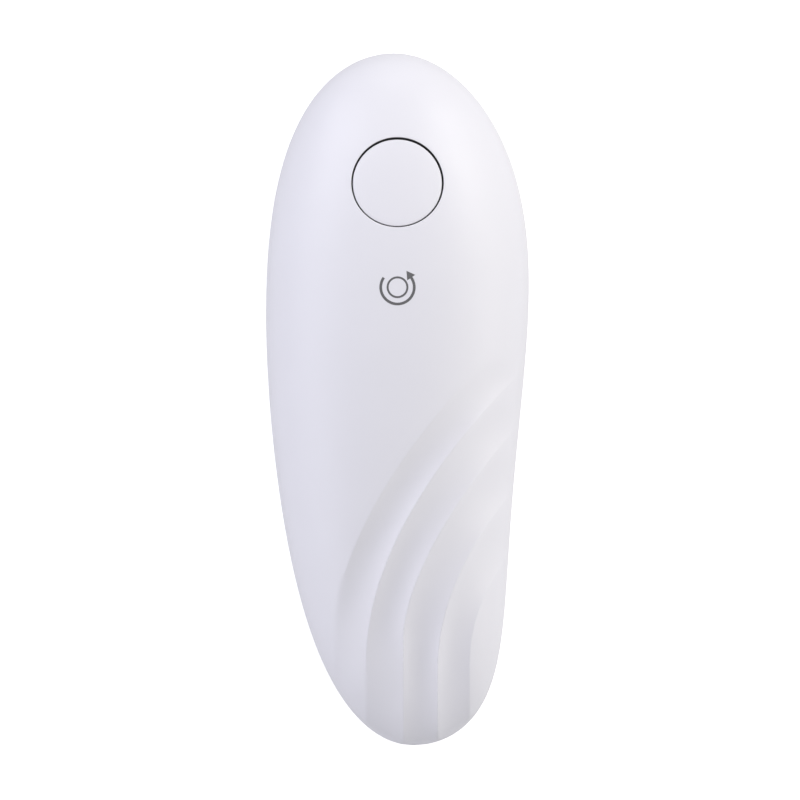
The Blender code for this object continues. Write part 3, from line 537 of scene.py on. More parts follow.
def paint_gap_shade(obj, radius_limit, depth_limit):
    """Paints shade on the walls deep in the button's gap: their faces take a dark material where
    the gap's shadow falls.
    """
    back = BUTTON_TURN.to_3x3().inverted()
    obj.data.materials.append(FINISH["gap_painted_shade"])
    for face in obj.data.polygons:
        local = back @ (face.center / MM - BUTTON_CENTRE)
        near = hypot(local.x, local.y) < radius_limit
        if near and depth_limit[0] < local.z < depth_limit[1]:
            face.material_index = 1


def make_button():
    """The button's top follows the housing's own curve, a little below it and a little fuller."""
    steps, crown = 120, 0.05
    verts = [tuple(on_surface(-BUTTON_SHIFT[0], -BUTTON_SHIFT[1], crown - BUTTON_SUNK))]
    faces = []
    previous = None
    top = [2.5, 5, 7.5, 9.5, 11.0, BUTTON_RADIUS - EDGE_ROUND]
    rings = [(r, crown * (1 - (r / BUTTON_RADIUS) ** 2) - BUTTON_SUNK, True) for r in top]
    for sine, cosine in QUARTER:
        radius, drop = BUTTON_RADIUS - EDGE_ROUND * (1 - sine), EDGE_ROUND * (1 - cosine)
        rings.append((radius, -BUTTON_SUNK - drop, True))
    rings += [(BUTTON_RADIUS, -1.4, True), (BUTTON_RADIUS, -5.5, False), (13.2, -5.5, False)]
    rings += [(13.4, -5.7, False), (13.4, -6.5, False), (10.6, -6.5, False)]
    rings += [(10.6, -2.9, False), (2.0, -2.9, False), (2.0, -7.0, False)]
    for radius, z, follows in rings:
        here = []
        for i in range(steps):
            x, y = polar(radius, 2 * pi * i / steps)
            lx, ly = x - BUTTON_SHIFT[0], y - BUTTON_SHIFT[1]
            here.append(len(verts))
            verts.append(tuple((on_surface if follows else on_button)(lx, ly, z)))
        if previous is None:
            faces += [(0, here[i], here[(i + 1) % steps]) for i in range(steps)]
        else:
            band(faces, previous, here)
        previous = here
    faces.append(tuple(previous))
    return new_object("start_button_finished", verts, faces)


# ---------------- lower form


def lower_section(y, cosine, sine, rounding, inset):
    """Across and height of the lower form: a flat belly that steps up under the head."""
    shifted = y + 0.9 * inset
    step = smooth_step((shifted - STEP_Y[0]) / (STEP_Y[1] - STEP_Y[0]))
    across = squared(cosine, LOWER_SQUARENESS)
    depth = (BELLY_DEPTH + (HEAD_DEPTH - BELLY_DEPTH) * step - inset) * rounding**END_ROUNDNESS
    z = PARTING_Z - depth * sine ** (2 / LOWER_SQUARENESS)
    floor = HEAD_FLOOR_Z * step + inset
    soft = 0.9
    return across, floor + soft * np.logaddexp(0, (z - floor) / soft)


def lower_solid(name, lift=0.0):
    ys = row_positions(*LOWER_ROWS)
    shares = 0.5 - 0.5 * np.cos(np.linspace(0, pi, 91))
    y = ys[:, None] + 0 * shares[None, :]
    centre, half_width, rounding = plan_section(y)
    start = np.arcsin((RIM / BELLY_DEPTH) ** (LOWER_SQUARENESS / 2) * 1.6)
    angle = start + (pi - 2 * start) * shares[None, :] + 0 * y
    cosine, sine = np.cos(angle), np.sin(angle)
    across, z = lower_section(y, cosine, sine, rounding, 0.0)
    z = np.maximum(z, lift)
    z[:, 0] = z[:, -1] = PARTING_Z - RIM
    z = np.minimum(z, PARTING_Z - RIM)
    points = np.stack([centre + half_width * across, y, z], -1)
    ends = [end_point(e, PARTING_Z - RIM) for e in (HALF_LENGTH - 0.02, -HALF_LENGTH + 0.02)]
    verts, faces, loop, _ = grid_solid(points, *ends)
    rim_loops(verts, faces, loop, PARTING_Z - SEAM_HALF_GAP, False)
    return new_object(name, verts, faces)


# ---------------- printed mark

PRINT_Y = 30.9
PRINT_HEIGHT = 0.02
PRINT_SINK = 0.2
ARROW_RADII = (5.0, 4.25)
ARROW_TIP = 35.0


def stroke(outer, inner, start=0.0, end=360.0, steps=72):
    """Quads of an arc's band: corners as ((x, y), ...) in the order round each quad."""
    quads = []
    for k in range(steps):
        a0 = radians(start + (end - start) * k / steps)
        a1 = radians(start + (end - start) * (k + 1) / steps)
        ring = [(outer, a0), (outer, a1), (inner, a1), (inner, a0)]
        quads.append([polar(r, a) for r, a in ring])
    return quads


def make_print():
    """A plain pictogram below the button: a can's lid, and an arrow turning round it."""
    quads = stroke(3.0, 2.45) + stroke(*ARROW_RADII, start=ARROW_TIP - 250.0, end=ARROW_TIP)
    tip = radians(ARROW_TIP)
    radius = sum(ARROW_RADII) / 2
    head = [polar(r, tip) for r in (radius + 1.35, radius - 1.35)]
    x, y = polar(radius, tip)
    point = (x - sin(tip) * 2.3, y + cos(tip) * 2.3)
    middle = ((head[0][0] + point[0]) / 2, (head[0][1] + point[1]) / 2)
    quads.append([head[0], middle, point, head[1]])
    verts, faces, found = [], [], {}

    def corner(p, lift):
        key = (round(p[0], 4), round(p[1], 4), lift)
        if key not in found:
            found[key] = len(verts)
            x, y = p[0], p[1] + PRINT_Y
            verts.append((x, y, float(surface_z(x, y)) + lift))
        return found[key]

    edges = {}
    for quad in quads:
        top = [corner(p, PRINT_HEIGHT) for p in quad]
        low = [corner(p, -PRINT_SINK) for p in quad]
        faces.append(top)
        faces.append(low[::-1])
        for i in range(4):
            j = (i + 1) % 4
            key = frozenset((top[i], top[j]))
            edges.setdefault(key, []).append((top[i], top[j], low[j], low[i]))
    for walls in edges.values():
        if len(walls) == 1:
            a, b, c, d = walls[0]
            faces.append((b, a, d, c))
    return new_object("printed_mark", verts, faces)


# ---------------- shaping helpers


def keep_shared(obj, other):
    """Keeps what obj shares with other, which stays for the next piece."""
    boolean(obj, other, "INTERSECT")
    mesh = modified_mesh(obj)
    obj.modifiers.clear()
    obj.data = mesh
    return obj


def cylinder(name, radius, z_range, at=(0, 0), steps=40, mouth=None):
    """A cylinder. A mouth of (z, size) opens it out below that height."""
    low, high = z_range
    profile = [(0, high), (radius, high)]
    if mouth:
        z, size = mouth
        profile += [(radius, z + size), (radius + size, z), (radius + size, low), (0, low)]
    else:
        profile += [(radius, low), (0, low)]
    return turned(name, profile, steps, at)


def soft_profile(corners, radius):
    """A (radius, z) profile with its corners rounded, but not those on the axis."""
    radii = [0.0 if r < 1e-6 else radius for r, _ in corners]
    return rounded_outline(corners, radii, 3)


def wire(name, points, radius):
    """A round wire through points, as a mesh with closed ends."""
    data = bpy.data.curves.new(name, "CURVE")
    data.dimensions = "3D"
    data.bevel_depth = radius * MM
    data.bevel_resolution = 6
    data.use_fill_caps = True
    spline = data.splines.new("POLY")
    spline.points.add(len(points) - 1)
    for point, where in zip(spline.points, points):
        point.co = (*(Vector(where) * MM), 1)
    curve = linked(name + "_route", data)
    mesh = modified_mesh(curve)
    bpy.data.objects.remove(curve)
    tidied(mesh, weld=1e-7)
    smoothed(mesh, 50)
    return linked(name, mesh)


# ---------------- lower housing and door

HOUSING_SCREWS = ((-23.5, 68.0, 12.0), (24.0, 68.0, 12.0), (-23.5, 1.0, 0.0), (23.5, 1.0, 0.0))
HEAD_SCREWS = ((-22.0, 50.0), (22.0, 50.0), (-16.0, 76.0), (16.0, 76.0))
DRIVE_XY = (0.0, 52.0)
CARRIER_XY = (0.0, 31.5)
CUTTER_XY = (0.0, 28.5)
MAGNET_PIN = (0.0, 65.5, 13.8)
MAGNET_XY = (0.0, 77.5)
DOOR_X = (-12.2, 22.2)
DOOR_FRONT_Y = -24.0
DOOR_TOP_Z = 9.0
DOOR_CORNER = 3.0
DOOR_LIFT = 0.25
SEAM_GAP = 0.3
THUMB_RIDGES = (-29.0, -31.6, -34.2, -36.8)
# Stands a prism up: its outline is drawn in y and z, and it is raised along x
UPRIGHT = Matrix(((0, 0, 1, 0), (1, 0, 0, 0), (0, 1, 0, 0), (0, 0, 0, 1)))
ALONG_X = Matrix.Rotation(pi / 2, 4, "Y")
ALONG_Y = Matrix.Rotation(-pi / 2, 4, "X")
AGAINST_Y = Matrix.Rotation(pi / 2, 4, "X")


def door_region(name, gap, low_z, high_z):
    x0, x1 = DOOR_X[0] - gap, DOOR_X[1] + gap
    y1 = DOOR_FRONT_Y + gap
    corners = [(x0, -110), (x1, -110), (x1, y1), (x0, y1)]
    radius = DOOR_CORNER + gap
    return prism(name, rounded_outline(corners, [0, 0, radius, radius], 8), (low_z, high_z))


def make_lower_housing():
    housing = lower_solid("housing_base")
    cut(housing, plain_form("base_cavity", "lower", LOWER_WALL))
    bake_modifiers(housing)
    limit = plain_form("rib_limit", "lower", 1.0)
    ribs = [
        box("rib", (-40, -26.2, 0.5), (40, -24.6, 22.6)),
        box("rib", (-40, -83.4, 0.5), (40, -81.8, 20)),
        box("rib", (-9, -1.5, 0.5), (9, 0.3, 14.2)),
        box("rib", (-9, -17.5, 0.5), (9, -15.7, 14.2)),
        box("rib", (-11.6, -81, 0.5), (-10.4, -26, 18)),
        box("rib", (-12, 60.5, 12.3), (12, 89, 17.7)),
    ]
    ribs += [
        cylinder("boss", 4.6, (floor + 0.5, PARTING_Z - 0.5), (x, y))
        for x, y, floor in HOUSING_SCREWS
    ]
    ribs += [cylinder("boss", 3.0, (12.8, 17.7), at) for at in HEAD_SCREWS]
    for rib in ribs:
        join(housing, keep_shared(rib, limit))
    for at in HEAD_SCREWS:
        join(housing, cylinder("stand", 2.9, (11.75, 15.5), at))
    bake_modifiers(housing)
    bpy.data.objects.remove(limit)
    pin_way = cylinder("pin_way", 1.7, (-11.2, 11.2))
    place(pin_way, MAGNET_PIN, ALONG_X)
    corners = [(-10, 62.5), (10, 62.5), (10, 87), (-10, 87)]
    cut(housing, prism("pocket_space", rounded_outline(corners, 1.5), (9, 16.5)), pin_way)
    cut(housing, cylinder("carrier_way", 8.5, (8, 16), CARRIER_XY, 64))
    cut(housing, cylinder("bush_way", 5.2, (8, 16), DRIVE_XY))
    for x, y, floor in HOUSING_SCREWS:
        sink = cylinder("screw_sink", 3.2, (-2, floor + 4.5), (x, y), mouth=(floor - 0.01, 0.4))
        cut(housing, cylinder("screw_way", 1.8, (-2, 26), (x, y)), sink)
    for at in HEAD_SCREWS:
        cut(housing, cylinder("head_pilot", 1.3, (8, 16.6), at, 24))
    for x in CELL_X:
        cut(housing, box("lead_way", (x - 1.3, -30, 12), (x + 1.3, -24, 30)))
    cut(housing, door_region("door_space", SEAM_GAP, -5, DOOR_TOP_Z + SEAM_GAP))
    return bake_modifiers(housing)


def make_battery_door():
    door = lower_solid("door_finished", DOOR_LIFT)
    cut(door, plain_form("door_cavity", "lower", LOWER_WALL))
    bake_modifiers(door)
    region = door_region("door_bounds", 0.0, -5, DOOR_TOP_Z)
    keep_shared(door, region)
    bpy.data.objects.remove(region)
    limit = plain_form("cradle_limit", "lower", 1.2)
    for x in (-9.4, 5.1, 18.6):
        cradle = rounded_outline([(-74, 0.8), (-30, 0.8), (-30, 6.8), (-74, 6.8)], [0, 0, 3, 3])
        rib = prism("cradle", cradle, (x - 0.7, x + 0.7), turn=UPRIGHT)
        join(door, keep_shared(rib, limit))
    tongue = [(-29, 1.6), (-24.6, 1.6), (-24.6, 2.7), (-21, 2.7), (-21, 4.2), (-29, 4.2)]
    join(door, prism("catch", rounded_outline(tongue, 0.25, 2), (0, 10), turn=UPRIGHT))
    bake_modifiers(door)
    bpy.data.objects.remove(limit)
    for y in THUMB_RIDGES:
        profile = soft_profile([(0, 8), (0.9, 8), (0.9, -8), (0, -8)], 0.5)
        groove = turned("groove", profile, 24)
        place(groove, (5, y, DOOR_LIFT - 0.35), ALONG_X)
        cut(door, groove)
    return bake_modifiers(door)


# ---------------- cutting head


def wheel_outline(radius, teeth, depth):
    """Blunt teeth round a wheel, with a flat on each tip and in each root."""
    points = []
    for index in range(teeth):
        for share, sunk in ((-0.20, 0), (0.20, 0), (0.34, depth), (0.66, depth)):
            points.append(polar(radius - sunk, 2 * pi * (index + share) / teeth))
    return points


def make_screw(name, at, head_low, head_high, tip, shank, head):
    """A pan-head screw driven from below, with a cross recess and a threaded shank."""
    profile = [(0, tip), (0.25, tip)]
    z = tip - 0.6
    pitch = 0.8
    while z - pitch > head_high + 0.4:
        profile += [(shank * 0.8, z), (shank, z - pitch * 0.5)]
        z -= pitch
    profile += [(shank * 0.85, head_high + 0.2), (shank, head_high), (head - 0.15, head_high)]
    profile += [(head, head_high - 0.15), (head, head_low + 0.75)]
    for sine, cosine in QUARTER:
        profile.append((head - 0.75 * (1 - cosine) * 1.1, head_low + 0.75 * (1 - sine)))
    profile += [(0, head_low)]
    screw = turned(name, profile, 48)
    for turn in range(2):
        top = head_low + 0.9
        slot = [(-1.6, head_low - 1), (1.6, head_low - 1), (1.35, top), (-1.35, top)]
        arm = prism("slot", slot, (-0.35, 0.35), turn=AGAINST_Y)
        place(arm, turn=Matrix.Rotation(turn * pi / 2 + 0.4, 4, "Z"))
        cut(screw, arm)
    bake_modifiers(screw)
    return place(screw, at)


def make_drive():
    """The output shaft, its toothed wheel, the nut that holds it and the bush it turns in."""
    outline = wheel_outline(8.0, 30, 0.75)
    inner = [(x * 0.955, y * 0.955) for x, y in outline]
    layers = [(inner, 4.0), (outline, 4.35), (outline, 7.65), (inner, 8.0)]
    wheel = loft("drive_wheel_finished", layers)
    join(wheel, turned("hub", soft_profile([(0, 7.6), (5.0, 7.6), (5.0, 9.9), (0, 9.9)], 0.4)))
    for r in (6.4, 4.4):
        ring = [(r - 0.2, 3.8), (r + 0.2, 3.8), (r + 0.1, 4.12), (r - 0.1, 4.12)]
        cut(wheel, turned("turning_mark", ring))
    cut(wheel, cylinder("wheel_bore", 3.2, (0, 12), steps=48, mouth=(4.0, 0.3)))
    bake_modifiers(wheel)
    place(wheel, DRIVE_XY)

    hexagon = [polar(5.2, pi * k / 3) for k in range(6)]
    nut = prism("drive_nut_finished", hexagon, (2.4, 3.7))
    crown = turned("crown", [(0, 3.7), (5.2, 3.7), (5.2, 2.85), (4.45, 2.4), (0, 2.4)])
    keep_shared(nut, crown)
    bpy.data.objects.remove(crown)
    cut(nut, cylinder("nut_bore", 3.2, (0, 6), steps=48, mouth=(2.4, 0.2)))
    bake_modifiers(nut)
    place(nut, DRIVE_XY)

    profile = [(0, 32.2), (2.4, 32.2), (3.0, 31.6), (3.0, 4.0)]
    z = 4.0
    while z > 3.0:
        profile += [(2.7, z - 0.2), (3.0, z - 0.4)]
        z -= 0.4
    profile += [(2.7, 2.7), (2.5, 2.6), (0.8, 2.6), (0.5, 2.9), (0, 2.9)]
    shaft = turned("drive_shaft_finished", profile, 48, DRIVE_XY)

    corners = [(3.2, 14.5), (5.0, 14.5), (5.0, 11.7), (6.6, 11.7), (6.6, 10.3), (3.2, 10.3)]
    bush = turned("drive_bush_finished", soft_profile(corners, 0.25), 64, DRIVE_XY)
    return wheel, nut, shaft, bush


def make_carrier():
    """The eccentric carrier: the cutter's post stands off its axis."""
    corners = [(0, 17.6), (5.0, 17.6), (5.0, 14.6), (8.2, 14.6), (8.2, 11.6), (12.6, 11.6)]
    corners += [(12.6, 9.3), (11.0, 9.3), (10.8, 9.6), (9.6, 9.6), (9.4, 9.3), (0, 9.3)]
    radii = [0, 0.3, 0.1, 0.2, 0.1, 0.25, 0.5, 0.1, 0.1, 0.1, 0.1, 0]
    carrier = turned("carrier_finished", rounded_outline(corners, radii, 4), 96)
    post_at = (CUTTER_XY[0] - CARRIER_XY[0], CUTTER_XY[1] - CARRIER_XY[1])
    for name, low, radius, soft, steps in (
        ("post", 7.2, 4.6, 0.3, 64),
        ("journal", 4.4, 3.0, 0.2, 48),
    ):
        profile = soft_profile([(0, low), (radius, low), (radius, 9.6), (0, 9.6)], soft)
        join(carrier, turned(name, profile, steps, post_at))
    pip = [(0, 9.0), (0.8, 9.0), (0.7, 9.7), (0, 9.7)]
    for angle in (0.6, 2.54, 3.9, 5.52):
        cut(carrier, turned("moulding_pip", pip, 24, polar(8.0, angle)))
    cut(carrier, cylinder("carrier_thread", 1.5, (3, 12), post_at, 32))
    bake_modifiers(carrier)
    place(carrier, CARRIER_XY)

    edge = [(3.2, 6.8), (4.5, 6.8), (4.6, 6.7), (4.65, 6.3), (5.2, 6.1), (7.0, 6.1)]
    edge += [(8.46, 5.63), (8.5, 5.6), (8.46, 5.57), (7.0, 5.1), (5.2, 5.1), (4.65, 4.9)]
    edge += [(4.6, 4.8), (4.5, 4.7), (3.2, 4.7)]
    cutter = turned("cutter_finished", edge, 96, CUTTER_XY, sharp_angle=12)
    return carrier, cutter


def make_head_plate():
    right, left = [], []
    for y in np.linspace(21.5, 85.0, 61):
        centre, half_width, _ = plan_section(np.array(y))
        right.append((float(centre + half_width) - 8.5, float(y)))
        left.append((float(centre - half_width) + 8.5, float(y)))
    outline = right[2:-2] + left[2:-2][::-1]
    layers = []
    normals = ring_normals(outline)
    for z, inset in ((10.6, 0.25), (10.72, 0.08), (10.85, 0.0), (11.7, 0.0)):
        pairs = zip(outline, normals)
        layers.append(([(x - nx * inset, y - ny * inset) for (x, y), (nx, ny) in pairs], z))
    plate = loft("head_plate_finished", layers)
    holes = [(*CARRIER_XY, 13.2), (*DRIVE_XY, 7.0)]
    holes += [(x, y, 1.7) for x, y in HEAD_SCREWS]
    holes += [(x, y, 4.2) for x, y, _ in HOUSING_SCREWS[:2]]
    for x, y, radius in holes:
        steps = 72 if radius > 5 else 36
        cut(plate, cylinder("hole", radius, (9, 13), (x, y), steps, mouth=(10.6, 0.15)))
    corners = [(-10.4, 62.2), (10.4, 62.2), (10.4, 90), (-10.4, 90)]
    cut(plate, prism("window", rounded_outline(corners, [1.8, 1.8, 0, 0]), (9, 13)))
    return bake_modifiers(plate)


def make_magnet_arm():
    outline = [(2.0, -2.2), (2.4, 0.6), (1.0, 2.3), (-1.6, 2.3), (-2.6, 0.0), (-1.5, -3.0)]
    outline += [(2.0, -5.6), (19.0, -5.6), (19.0, -3.6), (5.2, -3.6)]
    arm = prism("arm_finished", rounded_outline(outline, 0.7, 4), (-8.0, 8.0))
    cut(arm, cylinder("bore", 1.7, (-10, 10), steps=32))
    corners = [(-4.0, -9), (20, -9), (20, 9), (-4.0, 9)]
    cut(arm, prism("relief", corners, (-4.4, 4.4)))
    corners = [(4.5, -7.0), (18.8, -7.0), (18.8, 7.0), (4.5, 7.0)]
    pad = prism("pad", rounded_outline(corners, 1.0), (-5.5, -3.7))
    join(arm, place(pad, turn=ALONG_Y))
    bake_modifiers(arm)
    place(arm, MAGNET_PIN, UPRIGHT)
    corners = [(0, 8.0), (6.5, 8.0), (6.5, 4.5), (1.6, 4.5), (1.4, 4.7), (0, 4.7)]
    radii = [0, 0.5, 0.5, 0.1, 0.1, 0]
    magnet = turned("magnet_finished", rounded_outline(corners, radii, 4), 72, MAGNET_XY)
    corners = [(0, 10.8), (1.5, 10.8), (1.5, -10.8), (0, -10.8)]
    pin = turned("pin_finished", soft_profile(corners, 0.35), 40)
    place(pin, MAGNET_PIN, ALONG_X)
    return arm, magnet, pin


# ---------------- cells and contacts


CELL_Z = 14.5
CELL_X = (-2.4, 12.6)
CELL_FOOT_Y = (-78.0, -28.0)


def make_cell(name, at, turn):
    """A cell: the wrap is turned over both ends, with the metal caps inside it."""
    profile = [(0, 50.0), (2.5, 50.0), (2.7, 49.8), (2.7, 48.9), (3.1, 48.75), (5.9, 48.75)]
    profile += [(6.0, 48.95), (6.7, 48.9), (7.15, 48.5), (7.25, 48.1), (7.25, 0.8), (7.15, 0.4)]
    profile += [(6.7, 0.05), (6.0, 0.0), (5.9, 0.2), (0, 0.2)]
    return turned(name, profile, 72, at, turn)


def finish_cell(cell, which):
    """The positive third of the wrap is pale, and both ends are bare metal."""
    cell.data.materials.append(FINISH["cell_band"])
    cell.data.materials.append(FINISH["spring_steel"])
    for face in cell.data.polygons:
        x, y, z = face.center / MM
        along = abs(y - CELL_FOOT_Y[which])
        radius = hypot(x - CELL_X[which], z - CELL_Z)
        if radius < 5.95 and (along < 0.5 or along > 48):
            face.material_index = 2
        elif along > 34.0:
            face.material_index = 1


def coil_points(radii, heights, turns, rise=lambda share: share):
    """Points up a coil. rise gives the share of the height reached at a share of the turns."""
    points = []
    count = round(turns * 28)
    for index in range(count + 1):
        share = index / count
        angle = 2 * pi * turns * share
        radius = radii[0] + (radii[1] - radii[0]) * share
        height = heights[0] + (heights[1] - heights[0]) * rise(share)
        points.append((*polar(radius, angle), height))
    return points


def closed_ends(share):
    """How a pressure spring rises: its first and last turns lie almost flat."""
    steady = np.clip((share - 0.16) / 0.68, 0, 1)
    return float(smooth_step((share - 0.12) / 0.76) * 0.35 + 0.65 * steady)


def make_button_spring():
    """The coil under the button, from its foot on the board side up to its top under the button."""
    heights = (-8.55, -3.4)
    points = coil_points((4.6, 4.6), heights, 5, closed_ends)
    spring = wire("button_spring_finished", points, 0.26)
    place(spring, BUTTON_CENTRE, BUTTON_TURN)
    foot, top = (tuple(on_button(0, 0, z) * MM) for z in heights)
    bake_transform(spring)
    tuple(foot)
    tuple(top)
    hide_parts("button_spring")
    paint(spring, FINISH["spring_steel"])


def make_contacts():
    """The cells, the plates they press on and the two springs."""
    made = {}
    for i, turn in enumerate((ALONG_Y, AGAINST_Y)):
        name = f"cell_{i + 1}"
        made[name] = make_cell(name + "_finished", (CELL_X[i], CELL_FOOT_Y[i], CELL_Z), turn)
    springs = (
        ("rear_spring", (CELL_X[0], -80.6, CELL_Z), (0.5, 2.1), 0.4),
        ("front_spring", (CELL_X[1], -27.0, CELL_Z), (-0.5, -0.6), 0.2),
    )
    for name, at, heights, thickness in springs:
        coil = wire(name + "_finished", coil_points((5.0, 2.6), heights, 2.5), thickness)
        made[name] = place(coil, at, ALONG_Y)
    plates = (
        ("rear_link_plate", (-7.4, 17.6), (-81.4, -80.9)),
        ("front_plate_positive", (-7.4, 2.6), (-27.0, -26.5)),
        ("front_plate_negative", (7.6, 17.6), (-27.0, -26.5)),
    )
    for name, (x0, x1), span in plates:
        outline = rounded_outline([(x0, 10.0), (x1, 10.0), (x1, 19.5), (x0, 19.5)], 1.2)
        plate = prism(name + "_finished", [(x, -z) for x, z in outline], span, turn=ALONG_Y)
        made[name] = bevelled(plate, 0.12)
    return made


# ---------------- materials

FINISH = {}


def noise(tree, vector, scale, detail=2.0, roughness=0.5):
    node = tree.nodes.new("ShaderNodeTexNoise")
    node.inputs["Scale"].default_value = scale
    node.inputs["Detail"].default_value = detail
    node.inputs["Roughness"].default_value = roughness
    tree.links.new(vector, node.inputs["Vector"])
    return node.outputs["Fac"]


def spread(tree, value, low, high, from_low=0.3, from_high=0.7):
    """Maps a noise's usual range onto low to high."""
    node = tree.nodes.new("ShaderNodeMapRange")
    node.inputs["From Min"].default_value = from_low
    node.inputs["From Max"].default_value = from_high
    node.inputs["To Min"].default_value = low
    node.inputs["To Max"].default_value = high
    tree.links.new(value, node.inputs["Value"])
    return node.outputs["Result"]


def bump(tree, height, distance, strength, under=None):
    node = tree.nodes.new("ShaderNodeBump")
    node.inputs["Strength"].default_value = strength
    node.inputs["Distance"].default_value = distance * MM
    tree.links.new(height, node.inputs["Height"])
    if under:
        tree.links.new(under, node.inputs["Normal"])
    return node.outputs["Normal"]


def shade(colour, factor):
    return [min(1.0, c * factor) for c in colour]


def clouded(tree, value, colour, tone):
    """The colour, a little darker and a little lighter as the noise goes."""
    ramp = tree.nodes.new("ShaderNodeValToRGB")
    for element, place_on_ramp, factor in zip(
        ramp.color_ramp.elements, (0.35, 0.65), (1 - tone, 1 + tone)
    ):
        element.position = place_on_ramp
        element.color = (*shade(colour, factor), 1)
    tree.links.new(value, ramp.inputs["Fac"])
    return ramp.outputs["Color"]


def vector_math(tree, operation, vector, other=(0, 0, 0)):
    node = tree.nodes.new("ShaderNodeVectorMath")
    node.operation = operation
    tree.links.new(vector, node.inputs[0])
    node.inputs[1].default_value = other
    return node.outputs["Value" if operation == "LENGTH" else "Vector"]


def new_material(name, metallic=0.0):
    made = FINISH[name] = bpy.data.materials.new(name)
    made.use_nodes = True
    tree = made.node_tree
    shader = tree.nodes["Principled BSDF"]
    shader.inputs["Metallic"].default_value = metallic
    where = tree.nodes.new("ShaderNodeTexCoord").outputs["Object"]
    return tree, shader, where


def moulded(
    name, colour, roughness, tone, gloss_spread=0.05, grain=1400.0, grain_depth=0.012, specks=0.0
):
    """Moulded plastic: a faint cloud in the colour, a spark-eroded grain and slow flow waves."""
    tree, shader, where = new_material(name)
    link = tree.links.new
    colour_out = clouded(tree, noise(tree, where, 45, 3), colour, tone)
    if specks:
        mask = spread(tree, noise(tree, where, 900, 1), 0.0, specks, 0.72, 0.78)
        mix = tree.nodes.new("ShaderNodeMix")
        mix.data_type = "RGBA"
        link(mask, mix.inputs["Factor"])
        link(colour_out, mix.inputs["A"])
        mix.inputs["B"].default_value = (*shade(colour, 0.45), 1)
        colour_out = mix.outputs["Result"]
    link(colour_out, shader.inputs["Base Color"])
    rubbed = noise(tree, where, 120, 4, 0.6)
    gloss = spread(tree, rubbed, roughness - gloss_spread, roughness + gloss_spread)
    link(gloss, shader.inputs["Roughness"])
    waves = bump(tree, noise(tree, where, 60, 1), grain_depth * 4, 0.2)
    eroded = bump(tree, noise(tree, where, grain, 3, 0.6), grain_depth, 0.5, waves)
    link(eroded, shader.inputs["Normal"])


def metal(name, colour, roughness, tone=0.05, brushed=(1.0, 1.0, 1.0), depth=0.01, round_at=None):
    """Bare metal: brushed along the axis of the lowest scale, or turned about round_at."""
    tree, shader, where = new_material(name, 1.0)
    link = tree.links.new
    if round_at:
        centre = [c * MM for c in round_at] + [0]
        apart = vector_math(tree, "SUBTRACT", where, centre)
        split = tree.nodes.new("ShaderNodeSeparateXYZ")
        link(apart, split.inputs["Vector"])
        marks_at = tree.nodes.new("ShaderNodeCombineXYZ")
        flat = vector_math(tree, "MULTIPLY", apart, (1, 1, 0))
        link(vector_math(tree, "LENGTH", flat), marks_at.inputs["X"])
        link(split.outputs["Z"], marks_at.inputs["Y"])
        stretched = marks_at.outputs["Vector"]
    else:
        stretched = vector_math(tree, "MULTIPLY", where, brushed)
    marks = noise(tree, stretched, 3600, 4, 0.7)
    cloud = noise(tree, where, 160, 4, 0.6)
    link(clouded(tree, cloud, colour, tone), shader.inputs["Base Color"])
    total = tree.nodes.new("ShaderNodeMath")
    link(spread(tree, cloud, roughness - 0.06, roughness + 0.08), total.inputs[0])
    link(spread(tree, marks, -0.05, 0.07), total.inputs[1])
    link(total.outputs["Value"], shader.inputs["Roughness"])
    link(bump(tree, marks, depth, 0.45), shader.inputs["Normal"])


def paint(obj, finish):
    obj.data.materials.clear()
    obj.data.materials.append(finish)


def finish_piece(obj, body, finish, slot, *replaced):
    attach(obj, body)
    if replaced:
        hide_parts(*replaced)
    paint(obj, FINISH[finish])


STEEL = (0.56, 0.56, 0.57)
moulded("white_plastic", (0.646, 0.64, 0.695), 0.42, 0.006, grain_depth=0.010)
# painted shade: a dark grey that stands for the shadow deep in the button's gap, not a colour of
# the plastic
moulded("gap_painted_shade", (0.076, 0.074, 0.076), 0.6, 0.10, grain_depth=0.03)
moulded("grey_plastic", (0.075, 0.075, 0.082), 0.46, 0.10, 0.08, grain_depth=0.03)
moulded("gear_plastic", (0.62, 0.60, 0.52), 0.40, 0.03)
metal("steel", STEEL, 0.27, brushed=(1.0, 0.04, 1.0))
metal("sheet_steel", STEEL, 0.30, brushed=(1.0, 0.03, 1.0))
metal("brass", (0.70, 0.49, 0.20), 0.27, 0.08, round_at=DRIVE_XY)
metal("magnet", (0.60, 0.60, 0.62), 0.20, round_at=MAGNET_XY)
metal("drive_steel", STEEL, 0.26, round_at=DRIVE_XY)
metal("cutter_steel", STEEL, 0.20, round_at=CUTTER_XY)
metal("zinc", (0.62, 0.61, 0.60), 0.30, 0.08, depth=0.006)
metal("spring_steel", (0.50, 0.50, 0.51), 0.22, 0.06)
moulded("board", (0.02, 0.15, 0.07), 0.38, 0.12, grain=600, grain_depth=0.03)
moulded("cell_wrap", (0.05, 0.13, 0.24), 0.28, 0.06, 0.06, grain_depth=0.004)
moulded("cell_band", (0.42, 0.40, 0.36), 0.28, 0.06, 0.06, grain_depth=0.004)
moulded("lead_red", (0.5, 0.02, 0.02), 0.4, 0.08)
moulded("lead_black", (0.015, 0.015, 0.015), 0.4, 0.1)
moulded("print", (0.106, 0.105, 0.112), 0.5, 0.05, grain_depth=0.006, specks=0.3)


def finish_cad_nodes():
    """The inner pieces stay as the CAD has them, with a finish for each one's slot."""
    slots = {s["node"]: s["material_slot"] for s in frame["record"]["subparts"]}
    for name, obj in frame["nodes"].items():
        paint(obj, FINISH[slots[name]])


# ---------------- stage, light and camera


TABLE_HALF = 20.0
TABLE_Z = -0.0002
LIGHTS_AIM = Vector((0, 0, 0.03))
CAMERA_AT = (0.00069, -0.0002, 5.0)
CAMERA_LENS = 807.05
WORLD_ABOVE = 0.526
WORLD_BELOW_LEFT = 0.449
WORLD_BELOW_RIGHT = 0.828


